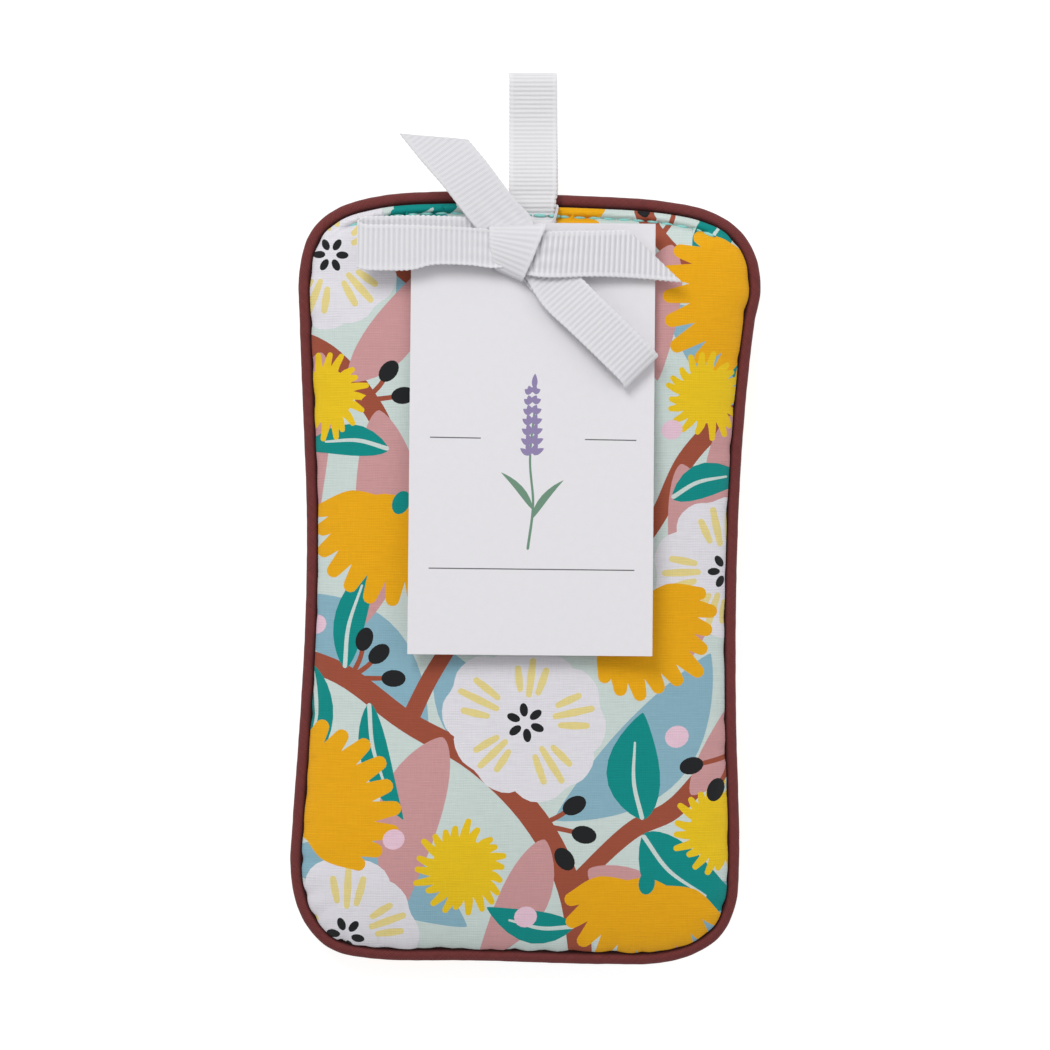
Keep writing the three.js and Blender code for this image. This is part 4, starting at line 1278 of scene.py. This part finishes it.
class SACHET_OT_sew_panels(bpy.types.Operator):
    """Cut, print and sew the front and back panels"""

    bl_idname = "sachet.sew_panels"
    bl_label = "Sew Panels"

    # A panel is cut this much larger than the seam line on every side
    CUT = 3 * MM

    def execute(self, context):
        cloth = cotton_material("Printed Cotton")
        front_parts = botanical_print()
        back_parts = [(name, polygon * (-1, 1)) for name, polygon in front_parts]
        for name, side, parts, node in (
            ("front_cloth", 1, front_parts, "front_panel"), ("back_cloth", -1, back_parts, "back_panel"),
        ):
            piece = sew_panel(name, side, parts)
            piece.data.materials.append(cloth)
            dress(piece, "printed_cotton", node, body="sachet")
        return {"FINISHED"}


class SACHET_OT_fill_lavender(bpy.types.Operator):
    """Pack the pillow with dried lavender"""

    bl_idname = "sachet.fill_lavender"
    bl_label = "Fill With Lavender"

    # How far in the filling lies, how much lower its top is, and how far its buds are sunk and stand out
    INSET, SLACK, SUNK, LUMP = 0.95 * MM, 0.1 * MM, 0.2 * MM, 0.12 * MM

    def execute(self, context):
        colours = settings()[3]
        halves = [Panel(side, count=240, rows=40, inset=self.INSET).rows for side in (1, -1)]
        top, bottom = (half[12::2] for half in halves)
        gap = (top[0] + bottom[0]) / 2
        rows = np.concatenate([top[::-1], gap[None], bottom])
        rows[: len(top), :, 2] -= self.SLACK
        count = rows.shape[1]
        points = rows.reshape(-1, 3).copy()
        for i, point in enumerate(points):
            lump = noise.noise(Vector(point) * 330) + 0.5 * noise.noise(Vector(point) * 700)
            points[i, 2] += (self.LUMP * lump - self.SUNK) * (1 if i < count * len(top) else -1)
        faces = grid_faces(len(rows), count, close_columns=True)
        faces.append(tuple(range(count)))
        faces.append(tuple(reversed(range(len(points) - count, len(points)))))
        piece = new_object("lavender_fill", points, outward(points, faces))
        piece.data.materials.append(bud_material("Dried Lavender", colours.lavender))
        dress(piece, "dried_lavender", "lavender_filling", body="sachet")
        return {"FINISHED"}


# ---- Piping and threads


class SACHET_OT_sew_piping(bpy.types.Operator):
    """Fold the bias strip round its cord and sew it into the seam"""

    bl_idname = "sachet.sew_piping"
    bl_label = "Sew Piping"

    # Half the gap between the strip's two edges, how far in they lie level, and how far it is drawn in
    SLIT, LEVEL, DRAWN_IN = 0.15 * MM, 3 * MM, 0.27 * MM
    # Painted shade darkens the strip over this way into the seam, under the fold of the panels
    TUCK_SHADE = (0.25 * MM, 0.85 * MM)
    # Its cut width, and the length of a turn in the cord's twist
    STRIP_WIDTH, LAY = 18 * MM, 7 * MM
    # Its roundness wavers by this share at each of these pitches
    PULL, PULL_PITCHES = 0.018, (3.1 * MM, 4.7 * MM, 8.3 * MM, 12.1 * MM)
    # Outside this place it wavers by this share of that, and inside the last one not at all
    OUTSIDE, OUTSIDE_SHARE, FLANGE_FROM = -0.4 * MM, 0.35, 2.2 * MM
    # Its flanks are drawn in between this angle and a quarter turn
    FLANK = 0.33

    def execute(self, context):
        pillow, _, _, colours = settings()
        seam = Seam(1100)
        self.fold_strip(pillow, colours, seam)
        self.lay_cord(pillow, colours, seam)
        return {"FINISHED"}

    def fold_strip(self, pillow, colours, seam):
        """The strip: a tube round the cord, with both its edges lying together inside the seam."""
        slit, flange = self.SLIT, self.SLIT + pillow.piping_wall
        reach = pillow.fold_inset + pillow.allowance - CLEARANCE
        profile = [(reach, flange), (self.LEVEL, flange)]
        profile += self.arc(pillow.piping_radius, flange, 30)
        profile += [(self.LEVEL, -flange), (reach, -flange), (reach, -slit)]
        profile += self.arc(pillow.piping_radius - pillow.piping_wall, slit, 14)[::-1] + [(reach, slit)]
        profile = np.array(profile)
        around = distances(profile)
        # Painted shade: how far each point of the strip's section is darkened, kept on the mesh for its
        # material
        tuck_shade = smoothstep(profile[:, 0], *self.TUCK_SHADE)
        points, uv = [], []
        phases = np.random.default_rng(5).uniform(0, 2 * np.pi, len(self.PULL_PITCHES))
        for i, way in enumerate(seam.along[:-1]):
            pull = sum(
                self.PULL * math.sin(2 * math.pi * way / pitch + phase)
                for pitch, phase in zip(self.PULL_PITCHES, phases)
            )
            for j, (inset, height) in enumerate(profile):
                share = 1 if inset > self.OUTSIDE else self.OUTSIDE_SHARE
                grow = 1 + (pull * share if inset < self.FLANGE_FROM else 0)
                spot = seam.point[i] + seam.inward[i] * inset * (grow if inset < 0 else 1)
                points.append((*spot, pillow.seam_height + height * grow))
                uv.append((way, around[j]))
        faces = grid_faces(len(seam.point), len(profile), close_rows=True, close_columns=True)
        piece = new_object("piping_strip", points, outward(points, faces))
        lay_uv(piece, "cloth", uv)
        lay_values(piece, "tuck_shade", np.tile(tuck_shade, len(seam.point)))
        piece.data.materials.append(cotton_material(
            "Burgundy Bias Cotton", tuple(colours.piping), turn=math.radians(45),
            weft=0.44 * MM, warp=0.44 * MM, low=0.6, high=1.38, bump=0.09 * MM,
        ))
        dress(piece, "piping_cotton", "piping_cover", body="sachet")

    def arc(self, radius, flange, count):
        """Round the cord, drawn in above and below the seam where the strip is sewn tight."""
        start = math.asin(flange / radius)
        angles = np.linspace(start, 2 * math.pi - start, count)
        near = np.minimum(angles, 2 * math.pi - angles) - self.FLANK
        near = np.clip(near / (math.pi / 2 - self.FLANK), 0, 1)
        size = radius - self.DRAWN_IN * np.sin(math.pi * near)
        return [(s * math.cos(a), s * math.sin(a)) for s, a in zip(size, angles)]

    def lay_cord(self, pillow, colours, seam):
        """The twisted filler cord inside the strip."""
        points = [(x, y, pillow.seam_height) for x, y in Seam(260).point]
        piece = path_object("piping_core", points, closed=True)
        total = float(seam.along[-1])
        run_tree(piece, twist_tree(), {
            "Radius": pillow.cord_radius, "Lay Length": total / round(total / self.LAY),
            "Material": thread_material("Filler Cord", colours.cord, 1400.0),
        })
        dress(piece, "filler_cord", "piping_cord", body="sachet")


class SACHET_OT_stitch_seams(bpy.types.Operator):
    """Sew the closing stitch along the top, and the hidden line of stitches in the seam"""

    bl_idname = "sachet.stitch_seams"
    bl_label = "Stitch Seams"

    # A stitch is this share of the pitch long; the thread lies this far above the cloth and dives this deep
    SHARE, ABOVE, DIVE, SEAM_DIVE = 0.94, 0.12 * MM, 0.38 * MM, 0.05 * MM
    # The closing stitch ends this far inside its box, and climbs between these ways from the loop's foot
    END_GAP, CLIMB = 0.5 * MM, (0.1 * MM, 1.3 * MM)
    # The seam's own stitches: how far in they lie, how much further behind the lip, and how thin they are
    SEAM_INSET, SEAM_LIP, SEAM_THREAD = 3.15 * MM, 2.3 * MM, 0.55

    def execute(self, context):
        pillow, _, _, colours = settings()
        tree, thread = stitch_tree(), thread_material("Aqua Thread", colours.thread)
        for name, node, points, radius, dive in (
            ("closing_stitches", "closing_stitch", self.closing(), 1, self.DIVE),
            ("seam_stitches", "seam_thread", self.seam(), self.SEAM_THREAD, self.SEAM_DIVE),
        ):
            piece = path_object(name, points)
            run_tree(piece, tree, {
                "Pitch": pillow.stitch_pitch, "Stitch Length": pillow.stitch_pitch * self.SHARE,
                "Thread Radius": pillow.thread_radius * radius, "Sink": dive, "Material": thread,
            })
            dress(piece, "aqua_thread", node, body="sachet")
        return {"FINISHED"}

    def closing(self):
        """The line of the closing stitch: along the lip, and over the foot of the loop."""
        pillow, ribbon = settings()[:2]
        low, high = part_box("closing_stitch")
        seam = Seam(1600)
        top = np.flatnonzero(seam.point[:, 1] > seam.middle)
        top = top[np.argsort(seam.point[top, 0])]
        line = seam.point[top] + seam.inward[top] * pillow.stitch_inset
        line = line[(line[:, 0] > low.x + self.END_GAP) & (line[:, 0] < high.x - self.END_GAP)]
        surface = Panel(1).surface()
        on_lip = self.ABOVE + pillow.cloth / 2 + np.array([height_on(surface, x, y) for x, y in line])
        over = FOOT_LOW.z + 2 * ribbon.thickness
        near, far = self.CLIMB
        lift = smoothstep(line[:, 0], FOOT_LOW.x - far, FOOT_LOW.x - near)
        lift = lift - smoothstep(line[:, 0], FOOT_HIGH.x + near, FOOT_HIGH.x + far)
        return np.column_stack([line, on_lip + (over - on_lip) * lift])

    def seam(self):
        """The line of the hidden stitches, all along the seam."""
        low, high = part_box("seam_thread")
        seam = Seam(700)
        line = seam.point + seam.inward * (self.SEAM_INSET + self.SEAM_LIP * seam.lip)[:, None]
        return np.column_stack([line, np.full(len(line), (low.z + high.z) / 2)])


# ---- Ribbons


def card_matrix():
    """Where the card's own plane lies: its hole is the origin."""
    card = settings()[2]
    return Matrix.Translation(HOLE) @ Matrix.Rotation(card.turn, 4, "Z") @ Matrix.Rotation(-card.tilt, 4, "X")


def on_card(place):
    """A place given in ribbon widths from the hole of the card."""
    return card_matrix() @ (Vector(place) * settings()[1].width)


# Points across the edge of a ribbon in shares of its half width, where the even ones between them start, and
# how many there are along each rib
EDGE_SHARES, EVEN_SHARE, RIB_STEPS = np.array([-1, -0.985, -0.95, -0.9, -0.85, -0.8]), 0.76, 6


def ribbon_strip(name, pairs, pitch, material, ripple=None, slant=0.0, rib_relief_and_shade=1.0):
    """A length of corded ribbon through pairs of edge points in metres, with real ribs and beaded edges.

    Its end is cut aslant where one edge is longer: the first by a positive slant, the second by a negative.
    The relief says how far the ribs stand out, less where the ribbon is pulled flat, and how dark the painted
    shade in their grooves is.
    """
    ribbon = settings()[1]
    left, right = (spline([pair[k] for pair in pairs], False, 700) for k in range(2))
    middle = (left + right) / 2
    along = distances(middle)
    face = unit(np.cross(np.gradient(middle, axis=0), right - left))
    half, thick = ribbon.width / 2, ribbon.thickness / 2
    aside = half * EDGE_SHARES
    inner = np.linspace(-EVEN_SHARE * half, EVEN_SHARE * half, 61 if slant else 12)
    columns = np.concatenate([aside, inner, -aside[::-1]])
    rounding = np.sqrt(np.clip(1 - np.clip((np.abs(columns) - half + thick) / thick, 0, 1) ** 2, 0.04, 1))
    share = columns / ribbon.width + 0.5
    ends = along[-1] - abs(slant) * (1 - share if slant > 0 else share)
    steps = math.ceil(along[-1] / (pitch / RIB_STEPS))
    at = np.linspace(0, 1, steps + 1)[:, None] ** (0.8 if slant else 1.0) * ends
    lefts, rights, faces_at = (
        np.stack([np.interp(at, along, line[:, k]) for k in range(3)], 2) for line in (left, right, face)
    )
    centre = lefts + (rights - lefts) * share[:, None]
    if ripple:
        centre += faces_at * ripple(at, columns, along[-1])[..., None]
    lift = faces_at * (thick * rounding)[:, None]
    points = np.concatenate([centre + lift, (centre - lift)[:, ::-1]], 1)
    way = np.concatenate([at, at[:, ::-1]], 1)
    across = np.broadcast_to(np.concatenate([columns, columns[::-1]]), way.shape)
    loop = points.shape[1]
    points = points.reshape(-1, 3)
    faces = grid_faces(steps + 1, loop, close_columns=True)
    for cap in (tuple(range(loop)), tuple(reversed(range(steps * loop, (steps + 1) * loop)))):
        faces += [(cap[j], cap[j + 1], cap[-j - 2], cap[-j - 1]) for j in range(loop // 2 - 1)]
    piece = new_object(name, points, outward(points, faces))
    lay_uv(piece, "cloth", np.stack([way, across], 2).reshape(-1, 2))
    lay_values(piece, "along", way.ravel())
    lay_values(piece, "across", across.ravel())
    lay_values(piece, "rib_relief_and_shade", np.full(len(points), rib_relief_and_shade))
    run_tree(piece, bpy.data.node_groups.get("Grosgrain Ribs") or ribs_tree(), {
        "Rib Pitch": pitch, "Rib Depth": ribbon.rib_depth * rib_relief_and_shade, "Half Width": half,
        "Selvage": ribbon.selvage, "Material": material,
    })
    piece["ribbon_length"] = float(along[-1] - abs(slant) / 2)
    return piece


class SACHET_OT_sew_loop(bpy.types.Operator):
    """Fold the hanging loop and sew its foot to the top of the pillow"""

    bl_idname = "sachet.sew_loop"
    bl_label = "Sew Hanging Loop"

    # The foot from its sewn end, in millimetres along and up: on the pillow, then over the strand
    ON_PILLOW = (-1.2, -0.7, -0.2, 0.2, 0.6)
    OVER_STRAND = ((1.2, 0.02), (2.2, 0.34), (3.17, 0.5), (4.1, 0.36), (5.1, 0.08))
    # The strand's pull on the foot's edges fades over this way beyond it
    PULL_FADE = (0.8 * MM, 2.6 * MM)
    # The fold at the far end: its outer radius, the loop's height there, and how far before it the ribbon
    # levels off and has its last point
    FOLD, UPPER, LEVEL, LAST = 2.75 * MM, 5.5 * MM, 6.25 * MM, 2.5 * MM
    # How far the ribbon stands to the side at its first end, at the fold and at its last end
    DRIFT = (0.28 * MM, 0, -0.1 * MM)

    def execute(self, context):
        ribbon, colours = settings()[1], settings()[3]
        half = ribbon.width / 2
        tied_y = FOOT_LOW.y + TIED_AT
        near, far = self.PULL_FADE
        pairs = []
        for y, z, shift in self.route(ribbon):
            centre = ribbon.hang_offset + shift
            side = half - PULLED_IN * (1 - smoothstep(y, tied_y + near, tied_y + far))
            pairs.append([(centre - side, y, z), (centre + side, y, z)])
        material = ribbon_material("White Loop Grosgrain", tuple(colours.loop_ribbon), ribbon.loop_rib, half)
        piece = ribbon_strip("loop_ribbon", pairs, ribbon.loop_rib, material)
        dress(piece, "white_grosgrain", "hanging_loop_foot", "hanging_loop")
        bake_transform(piece)
        return {"FINISHED"}

    def route(self, ribbon):
        """The ribbon's middle line from the sewn end to the fold and back, as y, z and sideways shift."""
        thick = ribbon.thickness
        base, rest = FOOT_LOW.z + thick / 2, thick / 2 + CLEARANCE
        top_z = self.UPPER - thick / 2
        radius = self.FOLD - rest + CLEARANCE / 2
        fold_y = LOOP_HIGH.y - self.FOLD
        slope_end = fold_y - self.LEVEL
        pillow, over_cloth = Panel(1).surface(), settings()[0].cloth / 2 + rest
        foot = []
        for y in self.ON_PILLOW:
            on_pillow = height_on(pillow, ribbon.hang_offset, FOOT_LOW.y + y * MM) + over_cloth
            foot.append((FOOT_LOW.y + y * MM, max(base, on_pillow)))
        foot += [(FOOT_LOW.y + y * MM, base + z * MM) for y, z in self.OVER_STRAND]

        def free(low, high):
            """From the hinge down or up to the level part of the loop, and along it to the fold."""
            slope = [(LOOP_LOW.y + s * (slope_end - LOOP_LOW.y), low + (high - low) * smoothstep(s, 0, 1))
                     for s in np.linspace(0.04, 1, 12)]
            return slope + [(fold_y - self.LAST, high), (fold_y, high)]

        bottom = foot + free(base, rest)
        top = [(y, z + thick) for y, z in foot] + free(base + thick, top_z)
        fold = [
            (fold_y + radius * math.cos(a), (rest + top_z) / 2 + radius * math.sin(a))
            for a in np.linspace(-math.pi / 2, math.pi / 2, 9)[1:-1]
        ]
        whole = bottom + fold + top[::-1]
        shifts = np.interp(np.arange(len(whole)), (0, len(bottom), len(whole) - 1), self.DRIFT)
        return [(y, z, s) for (y, z), s in zip(whole, shifts)]


class SACHET_OT_tie_bow(bpy.types.Operator):
    """Tie the bow: two loops, two tails, the knot, and the strand that holds the card on"""

    bl_idname = "sachet.tie_bow"
    bl_label = "Tie Bow"

    # Pleats in a ribbon near the knot: their pitch, how far they go on evenly, and how fast they fade then
    PLEAT_PITCH, PLEAT_START, PLEAT_FADE = 3.4 * MM, 4 * MM, 5 * MM
    # The strand's sides and folds, their twist in radians a metre, and their level and depth in its radius
    SIDES, FOLDS, TWIST, SHARE, DEPTH = 30, 5, 160, 0.86, 0.16
    # Its two steps down before the loop's foot, back and up from it, and its bend and height under the foot
    STEPS_DOWN, BEND, UNDER = ((1.1 * MM, 1.25 * MM), (0.2 * MM, 0.3 * MM)), 0.55 * MM, 0.1 * MM

    def execute(self, context):
        ribbon, colours = settings()[1], settings()[3]
        half = ribbon.width / 2
        white = ribbon_material("White Bow Grosgrain", tuple(colours.bow_ribbon), ribbon.bow_rib, half)
        # The last column is each piece's relief: how far its ribs stand out and how dark the painted shade in
        # its grooves is
        for name, shares, node, pleats, slant, rib_relief_and_shade in (
            ("left_loop", LEFT_LOOP, "bow_loop_left", (0.16 * MM, True), 0, 1.35),
            ("lower_loop", LOWER_LOOP, "bow_loop_lower", (0.08 * MM, True), 0, 0.9),
            ("right_tail", RIGHT_TAIL, "bow_tail_right", (0.12 * MM, False), 1.13, 1.7),
            ("left_tail", LEFT_TAIL, "bow_tail_left", (0.1 * MM, False), -0.96, 0.5),
            ("knot_band", KNOT_BAND, "bow_knot", None, 0, 0.65),
        ):
            pairs = [[on_card(edge) for edge in pair] for pair in shares]
            ripple = pleats and self.gathered(*pleats)
            piece = ribbon_strip(name, pairs, ribbon.bow_rib, white, ripple, slant * ribbon.width, rib_relief_and_shade)
            dress(piece, "white_grosgrain", node)
            if name == "left_tail":
                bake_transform(piece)
            else:
                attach(piece, "bow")
        self.strand(ribbon, white)
        return {"FINISHED"}

    def gathered(self, depth, both_ends):
        """Small pleats along a ribbon that fade away from the knot."""
        def ripple(at, across, total):
            away = np.minimum(at, total - at) if both_ends else at
            fade = np.exp(-np.maximum(0, away - self.PLEAT_START) / self.PLEAT_FADE)
            return depth * np.cos(2 * math.pi * across / self.PLEAT_PITCH) * fade
        return ripple

    def strand(self, ribbon, white):
        """The ribbon gathered narrow: from the knot through the card, under the loop's foot and back up."""
        room = ribbon.strand_radius + CLEARANCE
        height, bend = FOOT_LOW.z + self.UNDER, self.BEND
        along = FOOT_LOW.y + TIED_AT
        right, left = FOOT_HIGH.x - PULLED_IN + room, FOOT_LOW.x + PULLED_IN - room
        points = [on_card(p) for p in STRAND_DOWN]
        points += [Vector((right, along - back, height + up)) for back, up in self.STEPS_DOWN]
        points += [
            Vector((right - bend, along, height)), Vector((ribbon.hang_offset, along, height)),
            Vector((left + bend, along, height)), Vector((left, along, height + bend)),
        ]
        points += [on_card(p) for p in STRAND_UP]
        line = spline(points, False, 150)
        way = unit(np.gradient(line, axis=0))
        run = distances(line)
        side = unit(np.cross(way, (0.3, 0.2, 1.0)))
        over = np.cross(side, way)
        angles = np.arange(self.SIDES) * 2 * np.pi / self.SIDES
        rows, uv = [], []
        for i in range(len(line)):
            for a in angles:
                fold = self.SHARE + self.DEPTH * math.cos(self.FOLDS * a + run[i] * self.TWIST)
                radius = ribbon.strand_radius * fold
                rows.append(line[i] + radius * (side[i] * math.cos(a) + over[i] * math.sin(a)))
                uv.append((run[i], (a / math.pi - 1) * ribbon.width / 2))
        faces = grid_faces(len(line), self.SIDES, close_columns=True)
        faces += [tuple(range(self.SIDES)), tuple(reversed(range(len(rows) - self.SIDES, len(rows))))]
        piece = new_object("tie_ribbon", rows, outward(rows, faces))
        lay_uv(piece, "cloth", uv)
        piece.data.materials.append(white)
        dress(piece, "white_grosgrain", "tie_strand")
        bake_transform(piece)


# ---- The card


class SACHET_OT_cut_card(bpy.types.Operator):
    """Cut the card, punch its hole and print it"""

    bl_idname = "sachet.cut_card"
    bl_label = "Cut Card"

    def execute(self, context):
        _, _, card, colours = settings()
        half, top = card.width / 2 / MM, card.hole_inset / MM
        bottom = top - card.height / MM
        corners = [(-half, bottom), (half, bottom), (half, top), (-half, top)]
        outline = np.vstack([
            np.linspace(a, b, 40, endpoint=False) for a, b in zip(corners, corners[1:] + corners[:1])
        ])
        hole = disc((0, 0), card.hole_radius / MM, steps=40)
        flat, faces, names = cut_print(outline, [hole], sprig_print(), CARD_SPACING)
        count = len(flat)
        triangles = [tuple(int(i) for i in f) for f in faces]
        under = [(a + count, c + count, b + count) for a, b, c in triangles]
        walls = [(b, a, a + count, b + count) for a, b, _ in border(faces)]
        matrix = card_matrix()
        points = [matrix @ Vector((x * MM, y * MM, z)) for z in (0, -card.thickness) for x, y in flat]
        piece = new_object("tag_card", points, triangles + under + walls)
        for face in piece.data.polygons:
            face.use_smooth = False
        paint(piece, colours, list(names) + [""] * (len(under) + len(walls)), colours.card)
        piece.data.materials.append(card_material("White Card"))
        dress(piece, "white_card", "swing_tag", body="tag")
        return {"FINISHED"}


# ---- The stage


class SACHET_OT_set_stage(bpy.types.Operator):
    """Set the pale floor, the soft studio light and the camera straight above"""

    bl_idname = "sachet.set_stage"
    bl_label = "Set Stage"

    # Half the size of the floor in metres
    REACH = 3.0
    # Each light's name, place and size in metres, and share of the key light's power
    LIGHTS = (("Key", (-0.32, 0.62, 0.85), 0.55, 1.0), ("Side", (0.75, 0.1, 0.9), 0.9, 0.35))

    def execute(self, context):
        scene, stage, colours = context.scene, context.scene.sachet_stage, settings()[3]
        self.camera(scene, stage)
        corners = [(-1, -1), (1, -1), (1, 1), (-1, 1)]
        floor = new_object("floor", [(x * self.REACH, y * self.REACH, 0) for x, y in corners], [(0, 1, 2, 3)])
        paper = new_material("Pale Floor", tuple(colours.floor), 0.9, Specular_IOR_Level=0.1,
                             Emission_Color=(1, 1, 1, 1), Emission_Strength=stage.glow)[0]
        floor.data.materials.append(paper)
        world = bpy.data.worlds.new("Soft Studio")
        world.use_nodes = True
        background = world.node_tree.nodes["Background"]
        background.inputs["Color"].default_value = (1, 1, 1, 1)
        background.inputs["Strength"].default_value = stage.fill
        scene.world = world
        for name, place, size, share in self.LIGHTS:
            self.light(name, place, size, stage.key * share)
        scene.view_settings.view_transform = "Standard"
        return {"FINISHED"}

    @staticmethod
    def light(name, place, size, power):
        lamp = bpy.data.lights.new(name, "AREA")
        lamp.shape, lamp.size, lamp.energy = "DISK", size, power
        piece = bpy.data.objects.new(name, lamp)
        piece.location = place
        piece.rotation_euler = (-Vector(place)).to_track_quat("-Z", "Y").to_euler()
        piece.visible_camera = False
        bpy.context.scene.collection.objects.link(piece)

    @staticmethod
    def camera(scene, stage):
        """Looks straight down, so that the seam's own level fills the frame as the picture does."""
        data = bpy.data.cameras.new("Camera")
        data.sensor_width, data.lens = 36.0, stage.lens
        distance = stage.view_width * stage.lens / data.sensor_width
        piece = bpy.data.objects.new("Camera", data)
        piece.location = (stage.view_x, stage.view_y, settings()[0].seam_height + distance)
        data.clip_start, data.clip_end = 0.01, 20.0
        scene.collection.objects.link(piece)
        scene.camera = piece


class StageSettings(bpy.types.PropertyGroup):
    """Camera and lights."""

    lens: FloatProperty(name="Lens", description="Focal length in millimetres", default=200.0, min=20.0)
    view_width: length("View Width", "Width of the view at the seam's level", 216.8 * MM)
    view_x: position("View X", "Where the view is centred across the sachet", -0.1 * MM)
    view_y: position("View Y", "Where the view is centred along the sachet", -1.55 * MM)
    key: FloatProperty(
        name="Key Light", description="Power of the key light", default=5.9, min=0.0, unit="POWER",
    )
    fill: FloatProperty(
        name="Fill", description="Strength of the light from all round", default=0.52, min=0.0,
    )
    glow: FloatProperty(name="Floor Glow", description="Light of the floor itself", default=0.84, min=0.0)


class SACHET_PT_build(bpy.types.Panel):
    """Lists the steps that make the sachet"""

    bl_label = "Lavender Sachet"
    bl_idname = "SACHET_PT_build"
    bl_space_type = "VIEW_3D"
    bl_region_type = "UI"
    bl_category = "Sachet"

    def draw(self, context):
        for step in STEPS:
            self.layout.operator(step.bl_idname)
        for group in ("sachet_pillow", "sachet_ribbon", "sachet_card", "sachet_colours", "sachet_stage"):
            box = self.layout.box()
            values = getattr(context.scene, group)
            for name in values.bl_rna.properties.keys():
                if name not in ("rna_type", "name"):
                    box.prop(values, name)


STEPS = (
    SACHET_OT_set_stage, SACHET_OT_sew_panels, SACHET_OT_fill_lavender, SACHET_OT_sew_piping,
    SACHET_OT_stitch_seams, SACHET_OT_sew_loop, SACHET_OT_tie_bow, SACHET_OT_cut_card,
)
GROUPS = {
    "sachet_pillow": PillowSettings, "sachet_ribbon": RibbonSettings, "sachet_card": CardSettings,
    "sachet_colours": ColourSettings, "sachet_stage": StageSettings,
}


def register():
    for group in (*GROUPS.values(), *STEPS, SACHET_PT_build):
        bpy.utils.register_class(group)
    for name, group in GROUPS.items():
        setattr(bpy.types.Scene, name, PointerProperty(type=group))


def unregister():
    for name in GROUPS:
        delattr(bpy.types.Scene, name)
    for group in (SACHET_PT_build, *reversed(STEPS), *reversed(tuple(GROUPS.values()))):
        bpy.utils.unregister_class(group)


def main():
    register()
    for step in STEPS:
        group, name = step.bl_idname.split(".")
        getattr(getattr(bpy.ops, group), name)()


if __name__ == "__main__":
    main()
